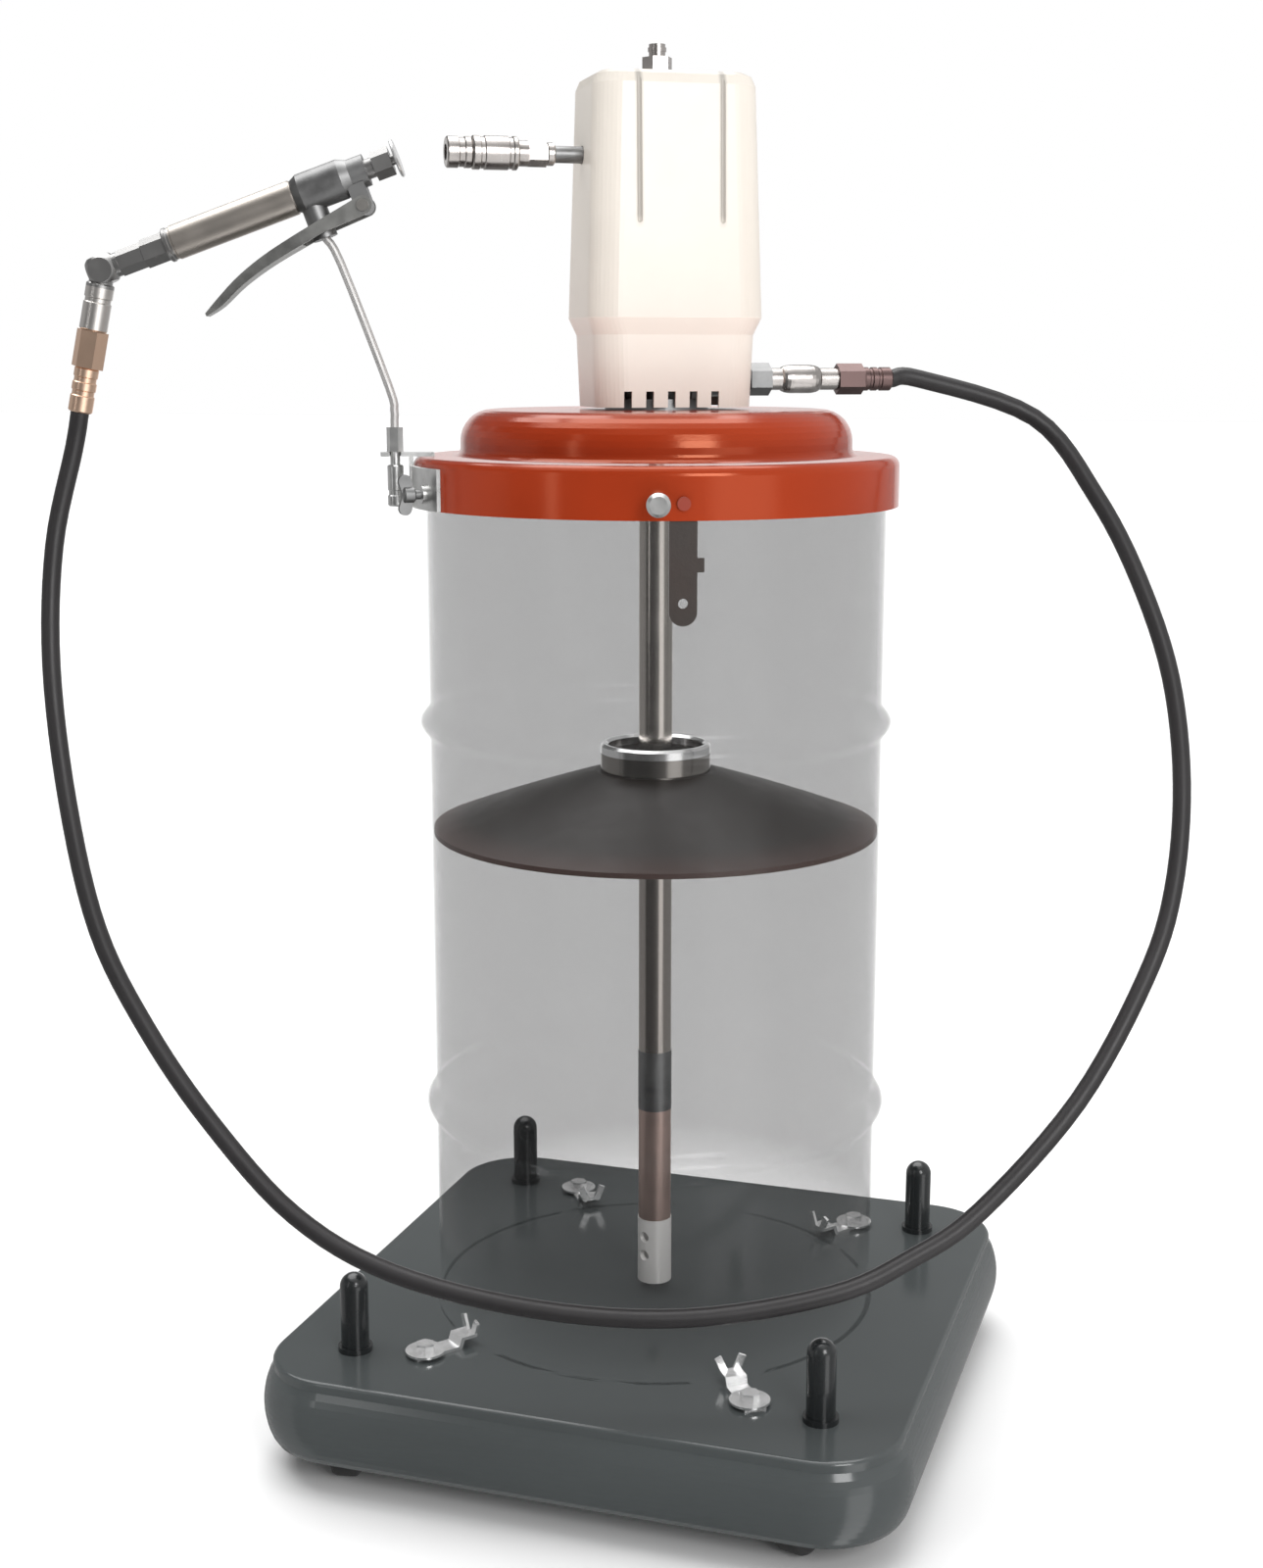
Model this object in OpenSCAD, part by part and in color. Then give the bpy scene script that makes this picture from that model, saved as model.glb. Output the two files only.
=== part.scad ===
/* [Dolly] */
// Side of the square deck at its edge line
deck_w = 500; // [460:5:600]
// Height of the deck's top above the floor
deck_z = 90; // [86:1:100]
// Thickness of the pressed deck and its skirt
deck_t = 3; // [2:0.5:3.5]
// Corner radius of the deck
deck_r = 60; // [50:1:80]
// Clearance between the skirt and the floor
skirt_gap = 24; // [20:1:27]
// How far the skirt bulges past the deck's edge
skirt_bulge = 8; // [4:1:12]
// Distance of each corner post and caster from the deck's edges
post_inset = 63; // [60:1:70]
// Diameter of a corner post
post_d = 22; // [18:1:26]
// Height of a corner post above the deck
post_h = 64; // [50:1:70]
/* [Casters] */
// Diameter of a caster's wheel
wheel_d = 62; // [56:1:63]
// Width of a caster's wheel
wheel_w = 22; // [16:1:24]
// Distance from the swivel's axis to the wheel's axle
trail = 26; // [22:1:27]
/* [Drum] */
// Inner diameter of the drum
drum_inner_d = 355.6; // [340:1:360]
// Height of the drum
drum_h = 686; // [640:1:700]
// Thickness of the drum's sheet
drum_t = 1.2; // [0.9:0.1:1.5]
// How far a rolling hoop stands out
hoop_out = 7.5; // [5:0.5:9]
/* [Cover] */
// Thickness of the cover's sheet
cover_t = 1.6; // [1.2:0.1:2]
// Height of the cover's skirt
skirt_h = 38; // [34:1:44]
// Width of the flat rim round the cover's dome
rim_flat = 36.4; // [34:0.2:42]
// Height of the dome above the cover's rim
dome_h = 35; // [30:1:40]
/* [Pump tube] */
// Outer diameter of the pump tube
tube_d = 26.8; // [24:0.2:27.6]
// Inner diameter of the pump tube
tube_inner_d = 20.8; // [18:0.2:21]
// Gap between the foot of the tube and the drum's floor
foot_gap = 4; // [3:1:12]
// Stroke of the pump
stroke = 64; // [40:1:64]
/* [Follower] */
// Height of the follower's rim above the deck at rest
follower_z = 393; // [200:1:420]
// Height from the follower's rim to the top of its rubber cone
cone_h = 48; // [44:1:56]
// Thickness of the follower's rubber
rubber_t = 5; // [4:0.5:7]
// Diameter of the follower's collar
collar_d = 88; // [80:1:96]
/* [Air motor] */
// Bore of the air cylinder
air_bore = 63.5; // [55:0.5:63.5]
// Wall of the air cylinder
air_wall = 3.75; // [3:0.25:3.75]
// Side of the square cylinder heads
head_w = 76; // [76:1:78]
/* [Housing] */
// Turn of the air motor against the dolly
pump_yaw = 32.5; // [20:0.5:45]
// Width of the upper housing at its lip
cap_w = 136; // [132:1:146]
// Depth of the upper housing at its lip
cap_d = 104; // [100:1:112]
// Height of the upper housing
cap_h = 178; // [178:1:190]
// Height of the lower housing
base_h = 56; // [54:1:58]
// Wall of the housings
housing_t = 2.5; // [2:0.5:3]
/* [Hose] */
// Outer diameter of the hose
hose_d = 14; // [12:0.5:15]
/* [Gun] */
// Diameter of the gun's grip
grip_d = 26; // [24:1:30]
// Length of the gun's grip
grip_l = 104; // [100:1:106]
// Squeezing gap between the grip and the lever
lever_gap = 18; // [14:1:20]
/* [Fits] */
// Radial clearance of a running fit
run_fit = 0.05; // [0.03:0.01:0.1]
// Clearance between fixed neighbours
fit = 0.3; // [0.2:0.05:0.4]

/* [Hidden] */
$fn = 64;
// One overrun serves every cut
over = 1;
// Chamfers and grooves of the turned pieces
turn_chamfer = 1;
turn_groove = 0.8;

// Colours
charcoal = [0.13, 0.14, 0.15];
black = [0.05, 0.05, 0.05];
steel = [0.62, 0.62, 0.6];
nickel = [0.72, 0.7, 0.66];
bright = [0.86, 0.86, 0.86];
red_orange = [0.72, 0.22, 0.12];
cream = [0.93, 0.89, 0.82];
brass = [0.6, 0.43, 0.28];
dark_rubber = [0.1, 0.08, 0.07];
cast_grey = [0.25, 0.25, 0.25];
aluminium = [0.75, 0.76, 0.77];
ghost_grey = [0.65, 0.65, 0.65, 0.45];

// Dolly
deck_half = deck_w / 2;
corner_at = deck_half - deck_r;
post_at = deck_half - post_inset;
deck_edge_r = 3;
edge_step = 5;
skirt_steps = 12;
skirt_top = deck_z - deck_edge_r - edge_step;
stem_d = 10;
stem_up = 36;
stem_top = deck_z + stem_up;
race_d = 42;
race_t = 6;
race_top = deck_z - deck_t;
post_base_d = 27;
post_base_h = 4;

// Casters
crown_d = 40;
crown_t = 3;
crown_gap = 0.5;
crown_top = race_top - race_t - crown_gap;
stem_head_d = 15;
stem_head_t = 2.4;
stem_bottom = crown_top - crown_t - fit - stem_head_t;
axle_d = 8;
axle_head_d = 12;
axle_head_t = 2;
leg_t = 2.5;
leg_root_w = 26;
hub_play = 0.8;
tread_t = 7;
tread_round = 4;
leg_gap = wheel_w / 2 + hub_play;
corners = [["fl", -1, -1, -78], ["fr", 1, -1, -104], ["bl", -1, 1, -70], ["br", 1, 1, -96]];

// Drum
drum_ir = drum_inner_d / 2;
drum_or = drum_ir + drum_t;
drum_top = deck_z + drum_h;
floor_rise = 2;
drum_floor = deck_z + floor_rise + drum_t;
chime_out = 2.4;
chime_h = 6;
hoop_half = 15;
hoop_steps = 12;
hoop_shares = [0.249, 0.704];
curl_r = 2.6;

// Clips that hold the drum's bottom edge
clip_turn = 53.8;
clip_out = 40.4;
clip_w = 17;
clip_t = 2.5;
clip_rise = 6.5;
clip_tip = 14;
clip_prong_w = 5.5;
clip_bolt_at = drum_or + chime_out + clip_out;
clip_reach_in = clip_bolt_at - drum_or - fit;
clip_foot_out = 12;
clip_bolt_d = 8;
clip_head_af = 13;
clip_head_h = 5.5;
clip_bolt_tail = 2.2;
clip_washer_d = 31;
clip_washer_t = 1.8;

// Cover
rim_gap = 7.8;
curl_or = drum_or + curl_r * 2 - drum_t;
cover_ir = drum_or + rim_gap;
cover_or = cover_ir + cover_t;
gasket_t = 2.1;
cover_under = drum_top + fit + gasket_t;
cover_top = cover_under + cover_t;
skirt_bottom = cover_top - skirt_h;
rim_round = 7;
dome_fillet = 6;
dome_round = 24;
dome_r = cover_or - rim_flat;
dome_top = cover_top + dome_h;

// Rim clamp screws
clamp_angles = [["front", -72], ["right", 48], ["left", 168]];
clamp_up = 12;
clamp_z = skirt_bottom + clamp_up;
screw_tip = curl_or + fit;
clamp_d = 8;
clamp_nut_af = 13;
clamp_nut_t = 6.5;
clamp_head_d = 17;
clamp_head_t = 9;
clamp_neck = 5;

// Strap under the rim
strap_angle = -66.6;
strap_w = 20;
strap_t = 2.5;
strap_drop = 74;
strap_hole_d = 7;
strap_hole_up = 16;
strap_tab = 5;
strap_tab_up = 38;
strap_rivet_d = 6;
strap_gap = 0.5;

// Pump stack
tube_r = tube_d / 2;
coupling_step = 0.3;
bore_r = tube_inner_d / 2;
foot_step = 0.6;
foot_r = tube_r + foot_step;
foot_z = drum_floor + foot_gap;
foot_h = 55;
lower_tube_h = 95;
coupling_h = 50;
seat_up = 47;
seat_t = 4;
seat_hole_d = 12;
foot_bore_d = 19;
ball_d = 18;
ball_travel = 6;
stop_pin_d = 3;
inlet_hole_d = 9;
inlet_hole_up = 24;
inlet_hole_pitch = 16;
inlet_hole_turn = -112;
foot_top = foot_z + foot_h;
seat_z = foot_z + seat_up + seat_t;
ball_z = seat_z + sqrt(pow(ball_d / 2, 2) - pow(seat_hole_d / 2, 2)) + fit;
ball_stop_z = ball_z + ball_d / 2 + ball_travel + stop_pin_d / 2 + fit;
lower_tube_top = foot_top + lower_tube_h;
coupling_top = lower_tube_top + coupling_h;

base_flange_d = 80;
base_flange_t = 8;
base_body_d = 44;
base_body_h = 51;
base_spigot_d = 43;
base_spigot_h = 12;
base_bolt_at = 31;
base_bolt_d = 8;
base_bolt_af = 13;
base_bolt_head = 5.3;
base_top = dome_top + base_body_h;
tube_top = dome_top + base_flange_t;
outlet_up = 22.6;
outlet_z = dome_top + outlet_up;
outlet_boss_d = 26;
outlet_boss_end = 56;
outlet_bore_d = 12;
gland_d = 22;
gland_t = 16;
rod_d = 12;
plunger_h = 26;
plunger_under = 40;
plunger_z = coupling_top - plunger_under;
plunger_groove_shares = [[0.32, 0.5], [0.62, 0.8]];
rod_nut_af = 18;

// Follower
rim_z = deck_z + follower_z;
rim_clear = 0.4;
rim_r = drum_ir - rim_clear;
cone_top = rim_z + cone_h;
cone_flange = 4;
cone_flange_r = collar_d / 2 + cone_flange;
cone_hole_r = 17;
cone_steps = 10;
lip_h = 4;
cone_curve = 0.12;
collar_h = 22;
collar_floor = 4;
collar_wall = 6;
wiper_h = 10;
wiper_r = foot_r + run_fit;
plate_t = 3.5;
plate_out = 2;
plate_r = collar_d / 2 + plate_out;

// Air motor
web_t = 3;
air_r = air_bore / 2;
cyl_base_z = base_top + web_t;
head_t = 10;
head_spigot = 4;
cyl_z = cyl_base_z + head_t;
piston_h = 14;
end_play = 1;
piston_z = cyl_z + head_spigot + end_play;
seal_groove = 3;
seal_w = 4;
rod_nut_h = 6;
cyl_h = head_spigot * 2 + piston_h + rod_nut_h + stroke + end_play * 4;
valve_z = cyl_z + cyl_h;
valve_head_t = 12;
chest_w = 46;
chest_depth = 42;
chest_h = 36;
chest_top = valve_z + valve_head_t + chest_h;
tie_at = 31;
tie_d = 6;
tie_nut_af = 10;
tie_nut_t = 5;
inlet_up = 28.5;
inlet_z = valve_z + inlet_up;
inlet_boss_r = 9;
inlet_boss_l = 7;
head_corner = 8;

// Housing
housing_shift = 6;
band_h = 13;
band_drop = 2;
band_out = 5;
base_gap = 2;
base_z = dome_top + base_gap;
lip_z = base_z + base_h + band_h - band_drop;
band_z = lip_z - band_h;
cap_top = lip_z + cap_h;
cap_draft = 10;
cap_top_w = cap_w - cap_draft;
cap_top_d = cap_d - cap_draft;
cap_r = 22;
cap_edge = 10;
base_draft = 14;
base_bottom_w = cap_w - base_draft;
base_bottom_d = cap_d - base_draft;
base_top_w = cap_w - band_out * 2;
base_top_d = cap_d - band_out * 2;
tongue_w = cap_w - (housing_t + fit) * 2;
tongue_d = cap_d - (housing_t + fit) * 2;
groove_half = 32;
groove_w = 4;
groove_depth = 1.6;
groove_l = 108;
groove_bottom = cap_top - groove_l;
slot_w = 6;
slot_h = 12;
slot_pitch = 17;
slot_count = 5;
web_hole_d = 30.4;
base_recess_h = 3;
base_recess_spigot_d = 29.8;
housing_fn = 40;
stud_d = 10;
stud_collar_d = 18;
stud_collar_h = 6;
skin = 0.4;
joint_up = 4;
stud_above = 23;
cap_washer_d = 24;
cap_washer_t = 1.5;
cap_nut_af = 20;
cap_nut_h = 12;
nipple_d = 12.5;
nipple_neck = 4;
nipple_collar_d = 14;
nipple_collar_h = 3;
stud_reach = 12;

// Air inlet, measured outwards from the pump's axis
nipple_in = 23;
nipple_hex_at = 36;
nipple_hex_l = 8;
nipple_hex_af = 15;
coupler_hex_af = 16.5;
coupler_socket_l = 6;
coupler_socket_r = 8.5;
end_ring_gap = 2;
end_groove_shares = [[0.26, 0.55]];
sleeve_groove_shares = [[0.1, 0.22], [0.72, 0.84]];
nipple_r = 6.2;
coupler_from = 86;
coupler_hex_l = 15;
coupler_hex_end = coupler_from + coupler_hex_l;
coupler_sleeve_l = 40;
mouth_at = coupler_hex_end + coupler_sleeve_l;
mouth_l = 21;
mouth_end = mouth_at + mouth_l;
mouth_r = 11.5;
release_r = 12.4;
coupler_bore_d = 12;
coupler_bore_l = 20;
sleeve_travel = 6;
sleeve_bore_d = 19;

// Outlet, measured outwards from the pump's axis
adapter_from = 46;
adapter_hex_from = 74;
adapter_hex_l = 17;
adapter_end = adapter_hex_from + adapter_hex_l;
union_neck_l = 9;
bulb_from = adapter_end + union_neck_l;
bulb_l = 33;
union_tail_l = 14;
union_end = bulb_from + bulb_l + union_tail_l;
ferrule_hex_l = 21;
ferrule_l = 24;
ferrule_end = union_end + ferrule_hex_l + ferrule_l;
adapter_hex_af = 22;
union_r = 11;
union_neck_r = 8.5;
union_thread_r = 6;
union_thread_l = 7;
outlet_neck_r = 9;
hose_bore_r = 4;
ferrule_hex_af = 21;
ferrule_r = 9.2;
ferrule_groove_shares = [[0.2, 0.34], [0.5, 0.64]];
bulb_steps = 5;
bulb_share = 0.28;

// Gun, placed by the centre of its swivel elbow
gun_left = 390.2;
gun_front = 153.4;
gun_yaw = 18;
gun_rise = 20;
hose_lean = 12;
grip_start = 52;
elbow_r = 13.8;
elbow_neck_r = 9;
elbow_pin_r = 6;
elbow_pin_start = 18;
sleeve_top = 10;
sleeve_end = 46;
sleeve_r = 10.6;
swivel_end = 34;
swivel_nut_af = 19;
gun_ferrule_end = 108;
gun_ferrule_hex_end = 74;
barrel_r = 15;
barrel_end = 214;
boss_at = 167;
boss_r = 9.5;
boss_end = -36;
pivot_back = 11;
pivot_under = 9;
pivot_at = [barrel_end - pivot_back, -barrel_r - pivot_under];
pivot_r = 3;
lever_half_w = 13.5;
lever_slot_half = 11;
lever_slot_from = 150;
lever_root_r = 7;
lever_tip_s = 62;
lever_tip_w = 8;
lug_w = 20;
lug_r = 6.5;
pin_head_t = 1.5;
plug_neck_r = 7.5;
plug_neck_end = 220;
plug_af = 19;
plug_end = 234;
disc_stem_r = 4;
disc_at = 237;
disc_r = 14.5;
disc_t = 2.5;
pipe_r = 3.2;
pipe_sides = 12;
pipe_steps = 4;
pipe_socket = 10;
elbow_block = 14;
elbow_side = 21;
elbow_hex_af = 17;
grip_socket = 8;
swivel_groove_shares = [[0.3, 0.42]];
grip_groove_shares = [[0.03, 0.07]];
coupler_groove_shares = [[0.25, 0.4]];
barrel_step = 3;
barrel_shares = [0.66, 0.78];
lever_drop = -22;
lever_t = 9;
lever_steps = 4;
lever_shares = [
    [0, 1.22, 0.25], [0.1, 0.98, 0.75], [0.25, 0.56, 0.85], [0.45, 0.2, 0.95], [0.75, -0.14, 1.05]
];
// The pipe's places between the boss and the coupler
pipe_shares = [[0.22, 0.13], [0.92, 0.78], [1, 0.91], [1, 0.965], [1, 1.02]];
// The coupler's place, right of and below the elbow's centre
coupler_at = 218;
coupler_top = -117;
coupler_l = 60;
coupler_nut_l = 18.5;
coupler_neck_l = 10;
coupler_r = 6.2;
coupler_nut_af = 11;
coupler_neck_r = 3.8;
coupler_bore_r = 3.3;
coupler_bore = 9;

// Gun bracket
fork_t = 3;
fork_side = 5;
fork_z = cover_top + run_fit + fork_t;
gun_at = [-gun_left, -gun_front, fork_z + fit + coupler_nut_l - coupler_top];
coupler_xy = [gun_at.x + coupler_at * cos(gun_yaw), gun_at.y + coupler_at * sin(gun_yaw)];
bracket_angle = atan2(coupler_xy.y, coupler_xy.x);
bracket_reach = norm(coupler_xy);
bracket_t = 3;
bracket_w = 22;
bend_r = 5;
flange_in = 16;
plate_from = -5;
plate_to = 25;
wing_turn = 18;
wing_d = 7;
wing_head_d = 12;
wing_span = 30;
wing_t = 3.5;
wing_lobe_share = 0.33;

// Route of the hose between its two ends, in millimetres
hose_sides = 10;
hose_step = 31;
hose_insert = 18;
hose_route = [
    [270, 155, 807], [322, 148, 746], [360, 130, 682], [390, 105, 609], [405, 68, 531],
    [405, 28, 455], [390, -10, 394], [350, -66, 312], [289, -122, 240], [245, -153, 210],
    [193, -185, 188], [95, -224, 173], [-10, -252, 177], [-115, -270, 198], [-191, -275, 235],
    [-260, -270, 297], [-316, -261, 361], [-363, -247, 430], [-401, -220, 520], [-425, -196, 622],
    [-430, -176, 712]
];
hose_normal = [0.286, -0.871, 0.4];

// Points of an arc in a flat outline
function arc(centre, r, from, to, steps) =
    [for (i = [0:steps]) let (a = from + (to - from) * i / steps) centre + r * [cos(a), sin(a)]];

// Point on a smooth curve through the points, with t counting from the first one
function on_curve(pts, t) =
    let (
        last = len(pts) - 1,
        i = min(floor(t), last - 1),
        f = t - i,
        a = pts[max(i - 1, 0)],
        b = pts[i],
        c = pts[i + 1],
        d = pts[min(i + 2, last)]
    )
    0.5 * (2 * b + (c - a) * f + (2 * a - 5 * b + 4 * c - d) * f * f + (3 * b - a - 3 * c + d) * f * f * f);

// The whole smooth curve, in so many steps from point to point
function smooth(pts, steps) = [for (i = [0:(len(pts) - 1) * steps]) on_curve(pts, i / steps)];

function unit(v) = v / norm(v);

// Round tube of equal sides along a path, closed at both ends
module swept_tube(path, r, sides, normal) {
    last = len(path) - 1;
    rings = [for (i = [0:last])
        let (
            t = unit(path[min(i + 1, last)] - path[max(i - 1, 0)]),
            b = unit(cross(t, normal)),
            n = cross(b, t)
        )
        [for (k = [0:sides - 1]) let (a = 360 * k / sides) path[i] + r * (cos(a) * n + sin(a) * b)]];
    points = [for (ring = rings) for (p = ring) p];
    walls = [for (i = [0:last - 1]) for (k = [0:sides - 1])
        let (k2 = (k + 1) % sides, a = i * sides)
        [a + k, a + k2, a + sides + k2, a + sides + k]];
    caps = [[for (k = [0:sides - 1]) sides - 1 - k], [for (k = [0:sides - 1]) last * sides + k]];
    polyhedron(points, concat(walls, caps), convexity = 10);
}

// Outline of a turned barrel: chamfered ends, and grooves given as shares of its length
function barrel(r, length, grooves, depth, chamfer, inner = 0) = concat(
    [[inner, 0], [r - chamfer, 0], [r, chamfer]],
    [for (g = grooves) each [
        [r, g[0] * length], [r - depth, g[0] * length + depth],
        [r - depth, g[1] * length - depth], [r, g[1] * length]
    ]],
    [[r, length - chamfer], [r - chamfer, length], [inner, length]]
);

// Turned piece along +X from its outline
module turned_x(from, outline) { translate([from, 0, 0]) rotate([0, 90, 0]) turned(outline); }

// Solid of revolution from an outline of radius and height
module turned(outline) { rotate_extrude() polygon(outline); }

// Hexagon along +Z, given across its flats
module hex(af, h) { cylinder(r = af / sqrt(3), h = h, $fn = 6); }

// Cylinder along +X
module along_x(from, to, r) { translate([from, 0, 0]) rotate([0, 90, 0]) cylinder(r = r, h = to - from); }

// Hexagon along +X
module hex_x(from, to, af) { translate([from, 0, 0]) rotate([0, 90, 0]) hex(af, to - from); }

// The frame of the air motor, whose +X is the outlet's side
module motor_frame() { rotate([0, 0, pump_yaw]) children(); }

// The frame of the gun's upright plane: +X to the right and +Z up from the elbow's centre
module gun_plane() { translate(gun_at) rotate([0, 0, gun_yaw]) children(); }

// The frame of the gun itself, whose +X runs along the grip
module gun_frame() { gun_plane() rotate([0, -gun_rise, 0]) children(); }

// The frame of the hose's last fitting, whose -Z runs down to the hose
module hose_end_frame() { gun_plane() rotate([0, hose_lean, 0]) children(); }

// Outline of the pan from a corner's centre outwards: deck, rounded edge and bulging skirt
function skirt_curve(inset) = [for (i = [0:skirt_steps]) let (s = i / skirt_steps)
    [deck_r - inset + skirt_bulge * pow(sin(180 * s), 0.7), skirt_top + (skirt_gap - skirt_top) * s]];
function reversed(pts) = [for (i = [len(pts) - 1:-1:0]) pts[i]];
function pan_outline() = concat(
    [[0, deck_z]],
    arc([deck_r - deck_edge_r, deck_z - deck_edge_r], deck_edge_r, 90, 0, 5),
    skirt_curve(0),
    reversed(skirt_curve(deck_t)),
    [[deck_r - deck_t, deck_z - deck_t], [0, deck_z - deck_t]]
);

module pan_side() {
    rotate([90, 0, 0]) linear_extrude(height = corner_at * 2, center = true)
        translate([corner_at, 0]) polygon(pan_outline());
}

module at_posts() {
    for (x = [-1, 1]) for (y = [-1, 1]) translate([x * post_at, y * post_at, 0]) children();
}

// The frame of each clip, whose +X points outwards from the drum's axis
module at_clips() {
    for (back = [0, 180]) for (side = [-1, 1]) rotate([0, 0, back + side * clip_turn]) children();
}

// Pressed deck with a bulging skirt, open underneath
module dolly_pan() {
    color(charcoal) difference() {
        union() {
            translate([-corner_at, -corner_at, deck_z - deck_t]) cube([corner_at * 2, corner_at * 2, deck_t]);
            for (a = [0:90:270]) rotate([0, 0, a]) {
                pan_side();
                translate([corner_at, corner_at, 0]) rotate_extrude(angle = 90) polygon(pan_outline());
            }
        }
        at_posts() translate([0, 0, deck_z - deck_t - over])
            cylinder(d = stem_d + fit * 2, h = deck_t + over * 2);
        at_clips() translate([clip_bolt_at, 0, deck_z - deck_t - over])
            cylinder(d = clip_bolt_d + fit * 2, h = deck_t + over * 2);
    }
}

// Tall round-topped posts screwed onto the casters' stems
module corner_posts() {
    color(black) at_posts() difference() {
        union() {
            translate([0, 0, deck_z]) cylinder(d = post_base_d, h = post_base_h);
            translate([0, 0, deck_z]) cylinder(d = post_d, h = post_h - post_d / 2);
            translate([0, 0, deck_z + post_h - post_d / 2]) sphere(d = post_d);
        }
        translate([0, 0, deck_z - over])
            cylinder(d = stem_d + run_fit * 2, h = stem_top + fit - deck_z + over);
    }
}

// Threaded stems with their upper races, riveted over below the forks
module caster_stems() {
    color(steel) at_posts() {
        translate([0, 0, stem_bottom]) cylinder(d = stem_d, h = stem_top - stem_bottom);
        translate([0, 0, stem_bottom]) cylinder(d = stem_head_d, h = stem_head_t);
        translate([0, 0, race_top - race_t]) cylinder(d = race_d, h = race_t);
    }
}

// Places a caster by its row in the table of corners
module at_corner(i) {
    c = corners[i];
    translate([c[1] * post_at, c[2] * post_at, 0]) rotate([0, 0, c[3]]) children();
}

module fork() {
    wheel_r = wheel_d / 2;
    boss_wr = axle_head_d / 2 + leg_t;
    color(steel) {
        difference() {
            union() {
                translate([0, 0, crown_top - crown_t]) cylinder(d = crown_d, h = crown_t);
                for (side = [-1, 1])
                    translate([0, side * (leg_gap + leg_t / 2), 0]) rotate([90, 0, 0])
                        linear_extrude(height = leg_t, center = true) {
                            polygon([
                                [-leg_root_w / 2, crown_top], [leg_root_w / 2, crown_top],
                                [trail + boss_wr, wheel_r], [trail - boss_wr, wheel_r]
                            ]);
                            translate([trail, wheel_r]) circle(r = boss_wr);
                        }
            }
            translate([0, 0, crown_top - crown_t - over])
                cylinder(d = stem_d + run_fit * 2, h = crown_t + over * 2);
        }
        translate([trail, 0, wheel_r]) rotate([90, 0, 0]) {
            cylinder(d = axle_d, h = (leg_gap + leg_t) * 2, center = true);
            for (side = [-1, 1])
                translate([0, 0, side * (leg_gap + leg_t + axle_head_t / 2)])
                    cylinder(d = axle_head_d, h = axle_head_t, center = true);
        }
    }
}

module wheel() {
    w = wheel_w / 2;
    r = wheel_d / 2;
    hub = axle_d / 2 + run_fit;
    color(black) translate([trail, 0, r]) rotate([90, 0, 0]) turned([
        [hub, -w], [hub + leg_t * 2, -w], [hub + leg_t * 2, tread_round / 2 - w],
        [r - tread_t, tread_round / 2 - w], [r - tread_t, -w], [r - tread_round, -w],
        [r - tread_round / 4, tread_round / 2 - w], [r, tread_round - w], [r, w - tread_round],
        [r - tread_round / 4, w - tread_round / 2], [r - tread_round, w], [r - tread_t, w],
        [r - tread_t, w - tread_round / 2], [hub + leg_t * 2, w - tread_round / 2],
        [hub + leg_t * 2, w], [hub, w]
    ]);
}

module caster_fork_fl() { at_corner(0) fork(); }
module caster_fork_fr() { at_corner(1) fork(); }
module caster_fork_bl() { at_corner(2) fork(); }
module caster_fork_br() { at_corner(3) fork(); }
module caster_wheel_fl() { at_corner(0) wheel(); }
module caster_wheel_fr() { at_corner(1) wheel(); }
module caster_wheel_bl() { at_corner(2) wheel(); }
module caster_wheel_br() { at_corner(3) wheel(); }

// Strap clips over the drum's bottom edge, each with a splayed two-pronged tip
module drum_clips() {
    inner = clip_bolt_at - clip_reach_in;
    rise_at = inner + clip_tip;
    over_z = deck_z + clip_rise;
    color(bright) at_clips() {
        difference() {
            rotate([90, 0, 0]) linear_extrude(height = clip_w, center = true) polygon([
                [clip_bolt_at + clip_foot_out, deck_z], [clip_bolt_at + clip_foot_out, deck_z + clip_t],
                [rise_at + clip_t, deck_z + clip_t], [rise_at, over_z + clip_t], [inner, over_z + clip_t],
                [inner, over_z], [rise_at - clip_t, over_z], [rise_at, deck_z]
            ]);
            translate([clip_bolt_at, 0, deck_z - over])
                cylinder(d = clip_bolt_d + fit * 2, h = clip_t + over * 2);
        }
        for (side = [-1, 1])
            translate([inner, side * clip_w / 4, over_z]) rotate([-side * 24, 0, 0])
                translate([0, -clip_prong_w / 2, 0]) cube([clip_t, clip_prong_w, clip_tip]);
    }
}

// Flanged hex bolts with their nuts under the deck
module clip_bolts() {
    color(bright) at_clips() translate([clip_bolt_at, 0, deck_z + clip_t]) {
        cylinder(d = clip_washer_d, h = clip_washer_t);
        translate([0, 0, clip_washer_t]) hex(clip_head_af, clip_head_h);
        translate([0, 0, -clip_t - deck_t - clip_head_h]) {
            hex(clip_head_af, clip_head_h);
            translate([0, 0, -clip_bolt_tail])
                cylinder(d = clip_bolt_d, h = clip_bolt_tail + clip_head_h + deck_t + clip_t);
        }
    }
}

// How far the drum's wall stands out at a height, from its two rolled hoops
function hoop_bump(s) = hoop_out * pow(cos(90 * s), 2);
function hoop(share, r) = [for (i = [-hoop_steps / 2:hoop_steps / 2]) let (s = i * 2 / hoop_steps)
    [r + hoop_bump(s), deck_z + drum_h * share + hoop_half * s]];

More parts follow.
